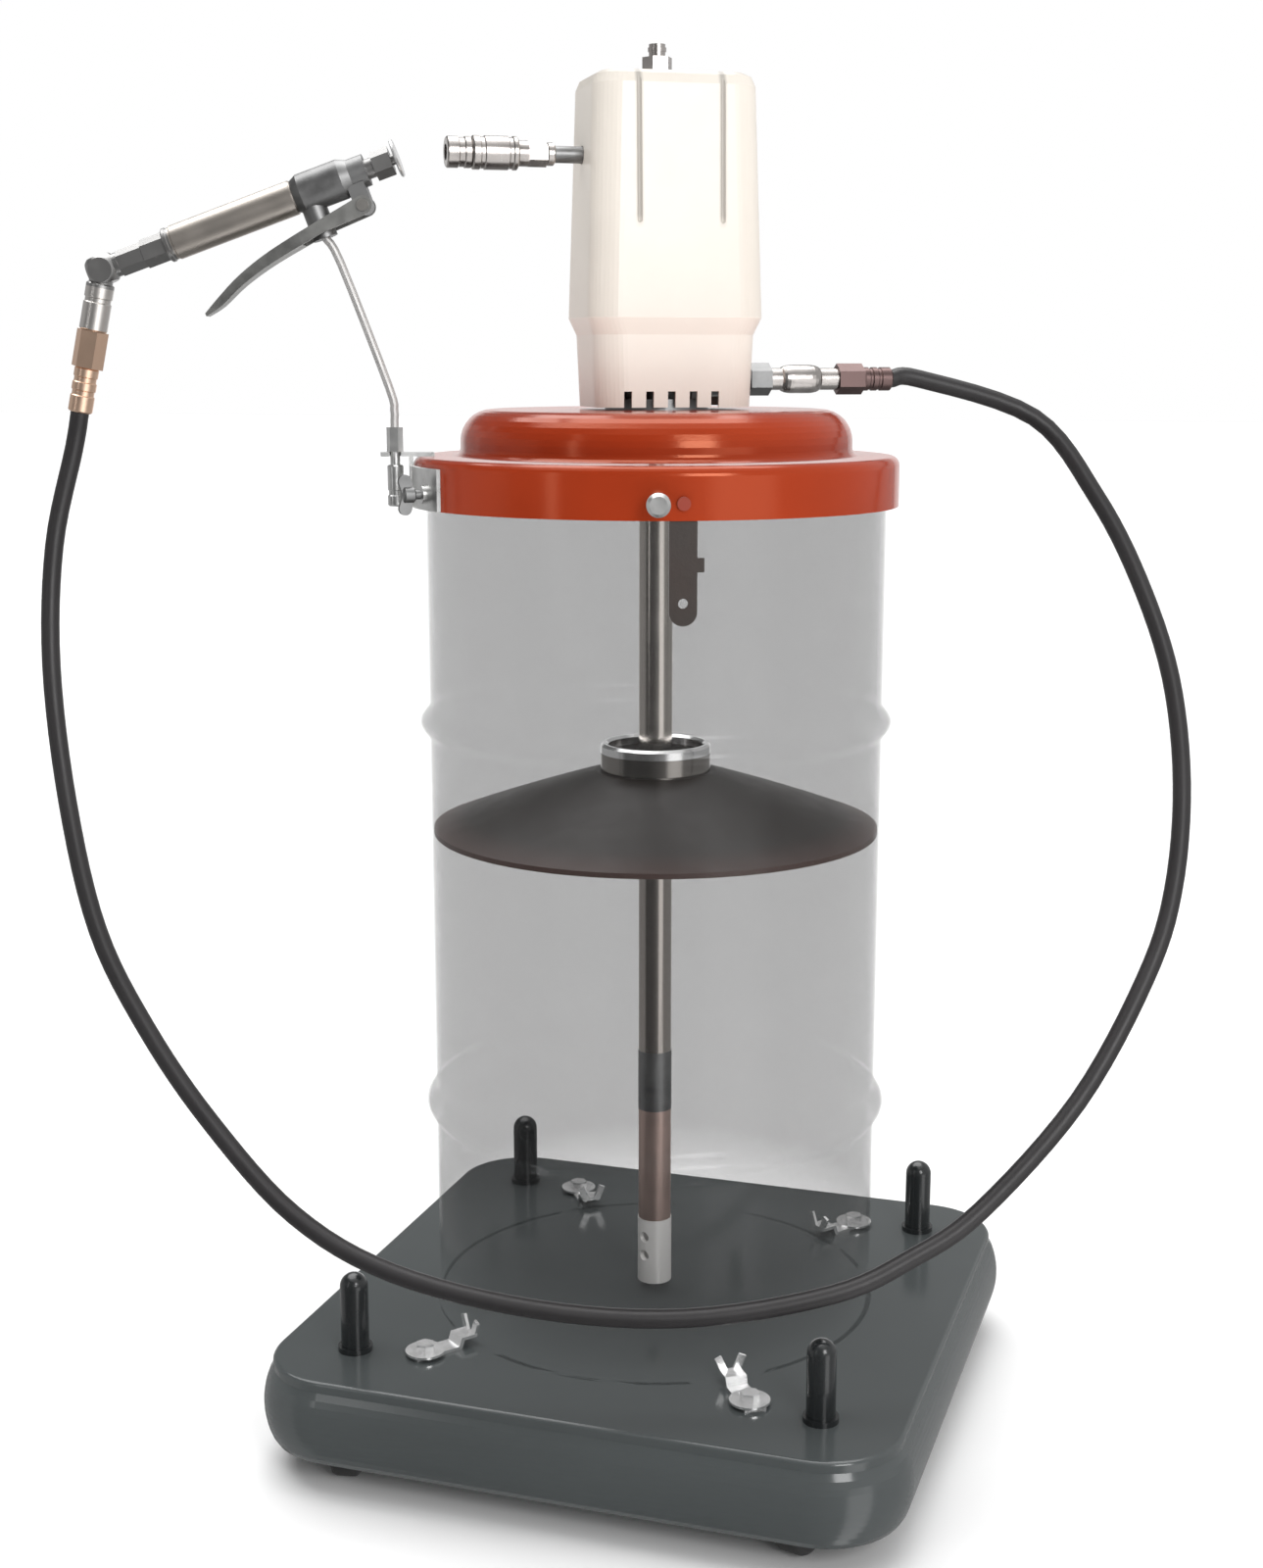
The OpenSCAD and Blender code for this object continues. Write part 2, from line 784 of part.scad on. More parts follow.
module drum_shell() {
    curl = [drum_ir + curl_r, drum_top - curl_r];
    chime_r = drum_or + chime_out;
    color(ghost_grey) turned(concat(
        [
            [0, drum_floor - drum_t], [drum_ir - chime_out, drum_floor - drum_t],
            [drum_ir - chime_out / 2, deck_z],
            [chime_r - drum_t / 2, deck_z], [chime_r, deck_z + drum_t / 2],
            [chime_r, deck_z + chime_h - drum_t], [drum_or, deck_z + chime_h]
        ],
        hoop(hoop_shares[0], drum_or), hoop(hoop_shares[1], drum_or),
        [[drum_or, curl.y - curl_r * 1.2]],
        arc(curl, curl_r, -60, 180, 12),
        reversed(hoop(hoop_shares[1], drum_ir)), reversed(hoop(hoop_shares[0], drum_ir)),
        [[drum_ir, drum_floor], [0, drum_floor]]
    ));
}

function cone_line(drop) = [for (i = [0:cone_steps]) let (s = i / cone_steps)
    [rim_r + (cone_flange_r - rim_r) * s,
     rim_z + lip_h + (cone_h - lip_h) * ((1 + cone_curve) * s - cone_curve * s * s) - drop]];

// Wide rubber cone that wipes the drum's wall
module follower_cone() {
    color(dark_rubber) turned(concat(
        [[rim_r, rim_z]], cone_line(0), [[cone_hole_r, cone_top], [cone_hole_r, cone_top - rubber_t]],
        reversed([for (p = cone_line(rubber_t)) if (p.x < rim_r - rubber_t) p]),
        [[rim_r - rubber_t, rim_z]]
    ));
}

// Bright ring that clamps the cone and holds the wiper
module follower_collar() {
    r = collar_d / 2;
    lip = collar_wall / 3;
    color(bright) turned([
        [wiper_r + lip, cone_top], [r, cone_top],
        [r, cone_top + collar_h - lip], [r - lip, cone_top + collar_h],
        [r - collar_wall + lip, cone_top + collar_h], [r - collar_wall, cone_top + collar_h - lip],
        [r - collar_wall, cone_top + collar_floor], [wiper_r + lip, cone_top + collar_floor]
    ]);
}

// Rubber ring that wipes the tube
module follower_wiper() {
    base = cone_top + collar_floor;
    outer = collar_d / 2 - collar_wall - fit;
    color(dark_rubber) turned([
        [wiper_r, base], [outer, base], [outer, base + wiper_h / 2], [wiper_r + rubber_t, base + wiper_h / 2],
        [wiper_r + rubber_t / 2, base + wiper_h], [wiper_r, base + wiper_h]
    ]);
}

// Clamp plate under the cone
module follower_plate() {
    top = cone_top - rubber_t;
    color(steel) turned([
        [wiper_r + fit * 4, top - plate_t], [plate_r - plate_t, top - plate_t], [plate_r, top - plate_t / 2],
        [plate_r, top], [wiper_r + fit * 4, top]
    ]);
}

// Outline of the cover's sheet, with the inset giving its inner side
function cover_line(inset) = concat(
    [[cover_or - inset, skirt_bottom]],
    arc([cover_or - rim_round, cover_top - rim_round], rim_round - inset, 0, 90, 6),
    arc([dome_r + dome_fillet, cover_top + dome_fillet], dome_fillet + inset, 270, 180, 5),
    arc([dome_r - dome_round, dome_top - dome_round], dome_round - inset, 0, 90, 8),
    [[0, dome_top - inset]]
);

module on_rim(angle, height) { rotate([0, 0, angle]) translate([0, 0, height]) children(); }

// Hole through the cover's skirt
module skirt_hole(r) { along_x(cover_ir - over * 4, cover_or + over * 4, r); }

module drum_cover() {
    color(red_orange) difference() {
        turned(concat(cover_line(0), reversed(cover_line(cover_t))));
        translate([0, 0, dome_top - cover_t - over])
            cylinder(d = base_spigot_d + fit * 2, h = cover_t + over * 2);
        motor_frame() at_base_bolts() translate([0, 0, dome_top - cover_t - over])
            cylinder(d = base_bolt_d + fit * 2, h = cover_t + over * 2);
        for (c = clamp_angles) on_rim(c[1], clamp_z) skirt_hole(clamp_d / 2 + fit);
        on_rim(bracket_angle + wing_turn, clamp_z) skirt_hole(wing_d / 2 + fit);
        on_rim(strap_angle, clamp_z) skirt_hole(strap_rivet_d / 2 + run_fit);
    }
}

// Flat rubber ring under the cover's rim
module cover_gasket() {
    color(black) translate([0, 0, cover_under - gasket_t]) difference() {
        cylinder(r = cover_or - rim_round, h = gasket_t, $fn = 96);
        translate([0, 0, -over]) cylinder(r = drum_ir, h = gasket_t + over * 2, $fn = 96);
    }
}

// Nuts welded to the cover's skirt
module clamp_nuts() {
    start = cover_or + run_fit;
    color(steel) for (c = clamp_angles) on_rim(c[1], clamp_z) difference() {
        hex_x(start, start + clamp_nut_t, clamp_nut_af);
        along_x(start - over, start + clamp_nut_t + over, clamp_d / 2 + run_fit);
    }
}

module clamp_screw(i) {
    head = cover_or + clamp_nut_t + clamp_neck;
    color(steel) on_rim(clamp_angles[i][1], clamp_z) {
        along_x(screw_tip, head + over, clamp_d / 2);
        turned_x(head, barrel(clamp_head_d / 2, clamp_head_t, [], 0, clamp_head_t / 4));
    }
}

module clamp_screw_front() { clamp_screw(0); }
module clamp_screw_right() { clamp_screw(1); }
module clamp_screw_left() { clamp_screw(2); }

// Holder on the rim: a curved plate, an arch over the rim and a fork for the coupler's neck
module gun_bracket() {
    inner = cover_or + run_fit * 2;
    outer = inner + bracket_t;
    foot = cover_or - flange_in;
    plate_h = cover_top - rim_round - skirt_bottom;
    neck = coupler_neck_r + fit * 1.5;
    color(nickel) difference() {
        union() {
            rotate([0, 0, bracket_angle + plate_from]) rotate_extrude(angle = plate_to - plate_from)
                translate([inner, skirt_bottom + fit]) square([bracket_t, plate_h]);
            rotate([0, 0, bracket_angle]) {
                translate([0, bracket_w / 2, 0]) rotate([90, 0, 0]) linear_extrude(height = bracket_w)
                    polygon(concat(
                        [[inner, skirt_bottom + plate_h / 2], [outer, skirt_bottom + plate_h / 2]],
                        arc([outer - bend_r, fork_z - bend_r], bend_r, 0, 90, 5),
                        [[foot, fork_z], [foot, fork_z - fork_t], [inner, fork_z - fork_t]]
                    ));
                translate([outer - bend_r, -bracket_w / 2, fork_z - fork_t]) cube([
                    bracket_reach + coupler_r + fork_side - outer + bend_r,
                    bracket_w / 2 + coupler_r + fork_side, fork_t
                ]);
            }
            on_rim(bracket_angle + wing_turn, clamp_z)
                along_x(outer - bracket_t / 2, outer + bracket_t, wing_d);
        }
        rotate([0, 0, bracket_angle]) translate([bracket_reach, 0, fork_z - fork_t - over]) {
            cylinder(r = neck, h = fork_t + over * 2);
            translate([-neck, 0, 0]) cube([neck * 2, bracket_w, fork_t + over * 2]);
        }
        on_rim(bracket_angle + wing_turn, clamp_z)
            along_x(cover_ir, outer + bracket_t * 2, wing_d / 2 + run_fit);
    }
}

// Wing screw that clamps the bracket
module bracket_screw() {
    head = cover_or + bracket_t * 2 + clamp_neck;
    lobe_d = wing_span * wing_lobe_share;
    color(cast_grey) on_rim(bracket_angle + wing_turn, clamp_z) {
        along_x(screw_tip, head, wing_d / 2);
        turned_x(head, barrel(wing_head_d / 2, clamp_head_t, [], 0, turn_chamfer));
        translate([head, wing_t / 2, 0]) rotate([90, 0, 0])
            linear_extrude(height = wing_t) for (side = [-1, 1]) hull() {
                translate([clamp_head_t / 2, 0]) square(wing_t * 2, center = true);
                translate([clamp_head_t - wing_t / 2, side * (wing_span - lobe_d) / 2]) circle(d = lobe_d);
            }
    }
}

// Strap that hangs from the skirt on one rivet
module rim_strap() {
    face = cover_ir - strap_t - strap_gap;
    top = clamp_z + strap_w / 2;
    bottom = skirt_bottom - strap_drop;
    color(cast_grey) on_rim(strap_angle, 0) {
        rotate([90, 0, 90]) translate([0, 0, face]) linear_extrude(height = strap_t) difference() {
            union() {
                translate([-strap_w / 2, bottom + strap_w / 2])
                    square([strap_w, top - bottom - strap_w / 2 - strap_tab]);
                translate([0, bottom + strap_w / 2]) circle(d = strap_w);
                translate([strap_w / 2 - over, bottom + strap_tab_up])
                    square([strap_tab + over, strap_tab * 2]);
            }
            translate([0, bottom + strap_hole_up]) circle(d = strap_hole_d);
        }
        translate([0, 0, clamp_z]) {
            along_x(face, cover_or + fit, strap_rivet_d / 2);
            along_x(cover_or + fit, cover_or + strap_t, strap_rivet_d * 0.8);
        }
    }
}

module at_base_bolts() { for (a = [45:90:315]) rotate([0, 0, a]) translate([base_bolt_at, 0, 0]) children(); }

// Casting between the cover, the tube and the air motor, with the grease outlet on its side
module pump_base() {
    color(aluminium) motor_frame() difference() {
        union() {
            translate([0, 0, dome_top]) cylinder(d = base_flange_d, h = base_flange_t);
            translate([0, 0, dome_top]) cylinder(d = base_body_d, h = base_body_h);
            translate([0, 0, dome_top - base_spigot_h]) cylinder(d = base_spigot_d, h = base_spigot_h + over);
            translate([0, 0, outlet_z]) along_x(0, outlet_boss_end, outlet_boss_d / 2);
        }
        translate([0, 0, dome_top - base_spigot_h - over])
            cylinder(r = tube_r + run_fit * 2, h = tube_top - dome_top + base_spigot_h + over + fit);
        translate([0, 0, tube_top - over]) cylinder(r = bore_r, h = outlet_z - tube_top + outlet_bore_d / 2);
        translate([0, 0, tube_top]) cylinder(d = rod_d + fit * 2, h = base_body_h);
        translate([0, 0, base_top - base_recess_h - gland_t])
            cylinder(d = gland_d + run_fit * 2, h = gland_t + over);
        translate([0, 0, base_top - base_recess_h])
            cylinder(d = base_recess_spigot_d + fit, h = base_recess_h + over);
        translate([0, 0, outlet_z]) {
            along_x(0, outlet_boss_end + over, outlet_bore_d / 2);
            along_x(adapter_from, outlet_boss_end + over, outlet_neck_r + run_fit);
        }
        at_base_bolts() translate([0, 0, dome_top - over])
            cylinder(d = base_bolt_d + fit * 2, h = base_flange_t + over * 2);
    }
}

// Bolts through the flange and the cover, with their nuts under the dome
module base_bolts() {
    color(steel) motor_frame() at_base_bolts() {
        translate([0, 0, dome_top + base_flange_t]) hex(base_bolt_af, base_bolt_head);
        translate([0, 0, dome_top - cover_t - base_bolt_head * 1.5])
            cylinder(d = base_bolt_d, h = cover_t + base_bolt_head * 1.5 + base_flange_t + over);
        translate([0, 0, dome_top - cover_t - base_bolt_head - run_fit]) hex(base_bolt_af, base_bolt_head);
    }
}

// Packing around the rod
module packing_gland() {
    z = base_top - base_recess_h - gland_t;
    color(brass) motor_frame() translate([0, 0, z + run_fit]) difference() {
        cylinder(d = gland_d, h = gland_t - run_fit * 2);
        translate([0, 0, -over]) cylinder(d = rod_d + run_fit * 2, h = gland_t + over * 2);
    }
}

// Rounded rectangle around the origin
module rounded_rect(w, d, r) {
    square([w - r * 2, d], center = true);
    square([w, d - r * 2], center = true);
    for (x = [-1, 1]) for (y = [-1, 1]) translate([x * (w / 2 - r), y * (d / 2 - r)]) circle(r = r);
}

// Smooth block through a list of levels, each a height, a width, a depth and a corner radius
module drafted(levels, inset) {
    hull() for (l = levels) for (x = [-1, 1]) for (y = [-1, 1])
        translate([x * (l[1] / 2 - l[3]), y * (l[2] / 2 - l[3]), l[0]])
            cylinder(r = l[3] - inset, h = skin, $fn = housing_fn);
}

function base_levels(low) = [
    [base_z - low, base_bottom_w, base_bottom_d, cap_r],
    [band_z, base_top_w, base_top_d, cap_r]
];
function band_levels(up) = [
    [band_z, base_top_w, base_top_d, cap_r],
    [lip_z - skin + up, cap_w, cap_d, cap_r]
];
function tongue_levels(ends) = [
    [lip_z - joint_up - ends, tongue_w, tongue_d, cap_r - housing_t],
    [lip_z + joint_up + ends, tongue_w, tongue_d, cap_r - housing_t]
];
function cap_levels(down) = [
    [lip_z, cap_w, cap_d, cap_r],
    [cap_top - cap_edge - down, cap_top_w, cap_top_d, cap_r],
    [cap_top - cap_edge * 0.3 - down, cap_top_w - cap_edge * 0.6, cap_top_d - cap_edge * 0.6, cap_r * 0.9],
    [cap_top - skin - down, cap_top_w - cap_edge * 1.6, cap_top_d - cap_edge * 1.6, cap_r * 0.75]
];

// Lower housing with its mounting web and exhaust slots
module lower_housing() {
    web_z = base_top;
    web_w = base_top_w - housing_t;
    web_d = base_top_d - housing_t;
    color(cream) motor_frame() difference() {
        translate([housing_shift, 0, 0]) {
            difference() {
                union() {
                    drafted(base_levels(0), 0);
                    drafted(band_levels(0), 0);
                }
                drafted(base_levels(over), housing_t);
                drafted(band_levels(over), housing_t);
            }
            difference() {
                drafted(tongue_levels(0), 0);
                drafted(tongue_levels(over), housing_t);
            }
            translate([0, 0, web_z]) linear_extrude(height = web_t) rounded_rect(web_w, web_d, cap_r);
        }
        translate([0, 0, web_z - over]) cylinder(d = web_hole_d, h = web_t + over * 2);
        at_ties() translate([0, 0, web_z - over]) cylinder(d = tie_d + fit * 2, h = web_t + over * 2);
        for (i = [0:slot_count - 1])
            translate([(i - (slot_count - 1) / 2) * slot_pitch - slot_w / 2, -base_top_d, base_z - over])
                cube([slot_w, base_top_d / 2 + cap_r, slot_h + over]);
        translate([0, 0, outlet_z]) along_x(base_body_d, base_top_w, outlet_neck_r + fit * 4);
    }
}

// Where the middle of a front groove stands at a height
function groove_y(z) =
    groove_depth - groove_w / 2 - (cap_d - (cap_d - cap_top_d) * (z - lip_z) / (cap_h - cap_edge)) / 2;

// Upper housing with two fluted lines down its front
module upper_housing() {
    draft = atan((cap_d - cap_top_d) / 2 / (cap_h - cap_edge));
    color(cream) motor_frame() difference() {
        translate([housing_shift, 0, 0]) difference() {
            drafted(cap_levels(0), 0);
            drafted(concat([[lip_z - over, cap_w, cap_d, cap_r]], cap_levels(housing_t)), housing_t);
            for (side = [-1, 1])
                translate([side * groove_half, groove_y(groove_bottom), groove_bottom])
                    rotate([-draft, 0, 0]) {
                        cylinder(d = groove_w, h = cap_top - groove_bottom + over);
                        sphere(d = groove_w);
                    }
        }
        translate([0, 0, cap_top - housing_t - over * 2])
            cylinder(d = stud_d + fit * 2, h = housing_t + over * 4);
        translate([0, 0, inlet_z]) rotate([0, 0, 180])
            along_x(cap_w / 2 - housing_shift - cap_draft, cap_w / 2 - housing_shift + over,
                nipple_r + fit * 2);
    }
}

module at_ties() { for (x = [-1, 1]) for (y = [-1, 1]) translate([x * tie_at, y * tie_at, 0]) children(); }

module square_head(z, t) {
    translate([0, 0, z]) linear_extrude(height = t) rounded_rect(head_w, head_w, head_corner);
}

module cylinder_base() {
    color(aluminium) motor_frame() difference() {
        union() {
            square_head(cyl_base_z, head_t);
            translate([0, 0, cyl_z - over]) cylinder(r = air_r - run_fit, h = head_spigot + over);
            translate([0, 0, base_top - base_recess_h + run_fit])
                cylinder(d = base_recess_spigot_d, h = base_recess_h + web_t + over);
        }
        translate([0, 0, base_top - base_recess_h - over])
            cylinder(d = rod_d + run_fit * 2, h = head_t + head_spigot + base_recess_h + web_t + over * 2);
        at_ties() translate([0, 0, cyl_base_z - over]) cylinder(d = tie_d + fit * 2, h = head_t + over * 2);
    }
}

module air_cylinder() {
    color(aluminium) motor_frame() translate([0, 0, cyl_z]) difference() {
        cylinder(r = air_r + air_wall, h = cyl_h);
        translate([0, 0, -over]) cylinder(r = air_r, h = cyl_h + over * 2);
    }
}

// Upper head with the air valve's chest, the inlet's boss and the stud for the housing
module valve_head() {
    color(aluminium) motor_frame() difference() {
        union() {
            square_head(valve_z, valve_head_t);
            translate([0, 0, valve_z - head_spigot]) cylinder(r = air_r - run_fit, h = head_spigot + over);
            translate([-chest_w / 2, -chest_depth / 2, valve_z + valve_head_t - over])
                cube([chest_w, chest_depth, chest_h + over]);
            translate([0, 0, inlet_z]) rotate([0, 0, 180])
                along_x(0, chest_w / 2 + inlet_boss_l, inlet_boss_r);
            translate([0, 0, chest_top - over])
                cylinder(d = stud_d, h = cap_top + stud_reach - chest_top + over);
            translate([0, 0, chest_top - over]) cylinder(d = stud_collar_d, h = stud_collar_h);
        }
        translate([0, 0, inlet_z]) rotate([0, 0, 180])
            along_x(nipple_in - fit, chest_w / 2 + inlet_boss_l + over, nipple_r + run_fit);
        at_ties() translate([0, 0, valve_z - over])
            cylinder(d = tie_d + fit * 2, h = valve_head_t + over * 2);
    }
}

// Four tie rods with their nuts
module tie_rods() {
    low = base_top - tie_nut_t;
    high = valve_z + valve_head_t;
    color(steel) motor_frame() at_ties() {
        translate([0, 0, low - over]) cylinder(d = tie_d, h = high + tie_nut_t - low + over * 2);
        translate([0, 0, low - run_fit]) hex(tie_nut_af, tie_nut_t);
        translate([0, 0, high + run_fit]) hex(tie_nut_af, tie_nut_t);
    }
}

// Washer-faced nut on the housing's stud
module cap_nut() {
    top = cap_washer_t + cap_nut_h;
    color(nickel) motor_frame() translate([0, 0, cap_top]) difference() {
        union() {
            cylinder(d = cap_washer_d, h = cap_washer_t);
            translate([0, 0, cap_washer_t]) hex(cap_nut_af, cap_nut_h);
            translate([0, 0, top]) cylinder(d = nipple_d, h = stud_above - top);
            translate([0, 0, top + nipple_neck]) cylinder(d = nipple_collar_d, h = nipple_collar_h);
        }
        translate([0, 0, -over]) cylinder(d = stud_d + run_fit * 2, h = stud_reach + fit + over);
    }
}

module air_piston() {
    r = air_r - run_fit;
    groove_z = piston_z + (piston_h - seal_w) / 2;
    color(aluminium) motor_frame() turned([
        [rod_d / 2 + run_fit, piston_z], [r, piston_z], [r, groove_z], [r - seal_groove, groove_z],
        [r - seal_groove, groove_z + seal_w], [r, groove_z + seal_w], [r, piston_z + piston_h],
        [rod_d / 2 + run_fit, piston_z + piston_h]
    ]);
}

module piston_seal() {
    r = air_r - run_fit;
    z = piston_z + (piston_h - seal_w) / 2 + run_fit;
    h = seal_w - run_fit * 2;
    color(black) motor_frame() turned([
        [r - seal_groove + run_fit, z], [r - run_fit, z], [r, z + h / 4], [r, z + h * 3 / 4],
        [r - run_fit, z + h], [r - seal_groove + run_fit, z + h]
    ]);
}

// Long rod with the pump's plunger at its foot and the piston's nut at its top
module pump_rod() {
    r = bore_r - run_fit;
    color(steel) motor_frame() {
        translate([0, 0, plunger_z]) cylinder(d = rod_d, h = piston_z + piston_h + rod_nut_h - plunger_z);
        translate([0, 0, piston_z + piston_h]) hex(rod_nut_af, rod_nut_h);
        translate([0, 0, plunger_z])
            turned(barrel(r, plunger_h, plunger_groove_shares, turn_groove, turn_chamfer));
    }
}

module pipe(z, h, outer, inner) {
    translate([0, 0, z]) difference() {
        cylinder(r = outer, h = h);
        translate([0, 0, -over]) cylinder(r = inner, h = h + over * 2);
    }
}

module pump_tube() { color(steel) pipe(coupling_top, tube_top - coupling_top, tube_r, bore_r); }
module tube_coupling() { color(cast_grey) pipe(lower_tube_top, coupling_h, tube_r + coupling_step, bore_r); }

// Lower cylinder of the pump, with the pin that stops the check ball
module lower_tube() {
    color(brass) {
        pipe(foot_top, lower_tube_h, tube_r, bore_r);
        translate([0, 0, ball_stop_z]) rotate([90, 0, 0])
            cylinder(d = stop_pin_d, h = tube_r * 2 - coupling_step, center = true);
    }
}

// Foot with the check ball's seat, an open end and two inlet holes
module foot_valve() {
    color(nickel) difference() {
        translate([0, 0, foot_z]) cylinder(r = foot_r, h = foot_h);
        translate([0, 0, foot_z - over]) cylinder(d = foot_bore_d, h = seat_up + over);
        translate([0, 0, foot_z]) cylinder(d = seat_hole_d, h = foot_h);
        translate([0, 0, seat_z]) cylinder(r = bore_r, h = foot_h);
        for (i = [0, 1]) on_rim(inlet_hole_turn, foot_z + inlet_hole_up + i * inlet_hole_pitch)
            along_x(0, foot_r + over, inlet_hole_d / 2);
    }
}

module check_ball() { color(bright) translate([0, 0, ball_z]) sphere(d = ball_d); }

// The frame of the air inlet, whose +X points outwards
module inlet_frame() { motor_frame() translate([0, 0, inlet_z]) rotate([0, 0, 180]) children(); }

module inlet_nipple() {
    color(cast_grey) inlet_frame() difference() {
        union() {
            along_x(nipple_in, coupler_from, nipple_r);
            hex_x(nipple_hex_at, nipple_hex_at + nipple_hex_l, nipple_hex_af);
        }
        along_x(nipple_in - over, coupler_from + over, nipple_r / 2);
    }
}

// Quick coupler's body: hex, barrel and the open mouth that takes the air plug
module coupler_body() {
    front = mouth_at + end_ring_gap;
    color(nickel) inlet_frame() difference() {
        union() {
            hex_x(coupler_from, coupler_hex_end, coupler_hex_af);
            turned_x(coupler_from - coupler_socket_l,
                barrel(coupler_socket_r, coupler_socket_l, [], 0, turn_chamfer));
            along_x(coupler_hex_end - over, front, sleeve_bore_d / 2 - run_fit);
            turned_x(front, barrel(mouth_r, mouth_end - front, end_groove_shares, turn_groove, turn_chamfer));
        }
        along_x(coupler_from - coupler_socket_l - over, coupler_from + fit, nipple_r + run_fit);
        along_x(coupler_from, mouth_end, nipple_r / 2);
        along_x(mouth_end - coupler_bore_l, mouth_end + over, coupler_bore_d / 2);
    }
}

// Sliding release sleeve
module coupler_sleeve() {
    start = coupler_hex_end + sleeve_travel + end_play;
    length = mouth_at + end_ring_gap - fit - start;
    color(nickel) inlet_frame()
        turned_x(start,
            barrel(release_r, length, sleeve_groove_shares, turn_groove, turn_chamfer, sleeve_bore_d / 2));
}

// The frame of the outlet, whose +X points outwards
module outlet_frame() { motor_frame() translate([0, 0, outlet_z]) children(); }

module outlet_adapter() {
    color(steel) outlet_frame() difference() {
        union() {
            along_x(adapter_from + fit, adapter_end, outlet_neck_r);
            hex_x(adapter_hex_from, adapter_end, adapter_hex_af);
            along_x(adapter_end - over, adapter_end + union_thread_l, union_thread_r);
        }
        along_x(adapter_from, bulb_from, hose_bore_r);
    }
}

// Outline of the union's bulb, with its smooth shoulders
function union_bulb() = let (rise = union_r - union_neck_r + turn_chamfer, shoulder = bulb_l * bulb_share)
    concat(
        [[0, 0]],
        [for (i = [0:bulb_steps]) let (a = 90 * i / bulb_steps)
            [union_r - rise * (1 - sin(a)), shoulder * (1 - cos(a))]],
        [for (i = [0:bulb_steps]) let (a = 90 - 90 * i / bulb_steps)
            [union_r - rise * (1 - sin(a)), bulb_l - shoulder * (1 - cos(a))]],
        [[0, bulb_l]]
    );

// Union nut that turns the hose's end onto the adapter
module outlet_union() {
    color(nickel) outlet_frame() difference() {
        union() {
            along_x(adapter_end + fit, union_end, union_neck_r);
            turned_x(bulb_from, union_bulb());
        }
        along_x(adapter_end, adapter_end + union_thread_l + fit, union_thread_r + run_fit);
        along_x(adapter_end, union_end + over, hose_bore_r);
    }
}

// The two crimped ends of the hose: a hex and a ferrule each
module ferrule(length, hex_l) {
    difference() {
        union() {
            hex_x(0, hex_l, ferrule_hex_af);
            turned_x(hex_l,
                barrel(ferrule_r, length - hex_l, ferrule_groove_shares, turn_groove, turn_chamfer));
        }
        along_x(length - hose_insert, length + over, hose_d / 2);
    }
}

module hose_ferrules() {
    color(brass) {
        outlet_frame() translate([union_end + run_fit, 0, 0])
            ferrule(ferrule_hex_l + ferrule_l - run_fit, ferrule_hex_l);
        hose_end_frame() rotate([0, 90, 0]) {
            translate([sleeve_end, 0, 0])
                ferrule(gun_ferrule_end - sleeve_end, gun_ferrule_hex_end - sleeve_end);
            along_x(elbow_pin_start, sleeve_end + over, elbow_pin_r);
        }
    }
}

// High-pressure hose in one smooth run between its two ferrules
module hose() {
    start = [for (x = [-hose_insert, 0, hose_step * 0.8])
        let (r = ferrule_end + x) [r * cos(pump_yaw), r * sin(pump_yaw), outlet_z]];
    finish = [for (d = [hose_step * 0.9, 0, -hose_insert])
        let (r = gun_ferrule_end + d, a = r * sin(hose_lean))
        gun_at - [a * cos(gun_yaw), a * sin(gun_yaw), r * cos(hose_lean)]];
    pts = concat(start, hose_route, finish);
    last = len(pts) - 1;
    path = concat(
        [for (i = [0:last - 1]) let (n = max(1, round(norm(pts[i + 1] - pts[i]) / hose_step)))
            for (k = [0:n - 1]) on_curve(pts, i + k / n)],
        [pts[last]]
    );
    color(black) swept_tube(path, hose_d / 2, hose_sides, hose_normal);
}

// Elbow that turns on the hose's end and carries the grip's swivel
module swivel_elbow() {
    color(nickel) difference() {
        union() {
            gun_frame() {
                intersection() {
                    cube(elbow_side, center = true);
                    sphere(r = elbow_r);
                }
                along_x(0, elbow_block, elbow_neck_r);
                hex_x(elbow_block, swivel_end - fit, elbow_hex_af);
                along_x(0, grip_start + grip_socket, elbow_pin_r);
            }
            hose_end_frame() rotate([0, 90, 0]) {
                along_x(0, sleeve_end - fit, elbow_neck_r);
                turned_x(sleeve_top, barrel(
                    sleeve_r, sleeve_end - fit - sleeve_top, swivel_groove_shares,
                    turn_groove, turn_chamfer));
            }
        }
        hose_end_frame() rotate([0, 90, 0])
            along_x(elbow_pin_start - fit, sleeve_end, elbow_pin_r + run_fit);
    }
}

// Grip with its swivel nut
module gun_grip() {
    color(nickel) gun_frame() difference() {
        union() {
            hex_x(swivel_end, grip_start, swivel_nut_af);
            turned_x(grip_start, barrel(grip_d / 2, grip_l, grip_groove_shares, turn_groove, turn_chamfer));
        }
        along_x(swivel_end - over, grip_start + grip_socket + fit, elbow_pin_r + run_fit);
    }
}

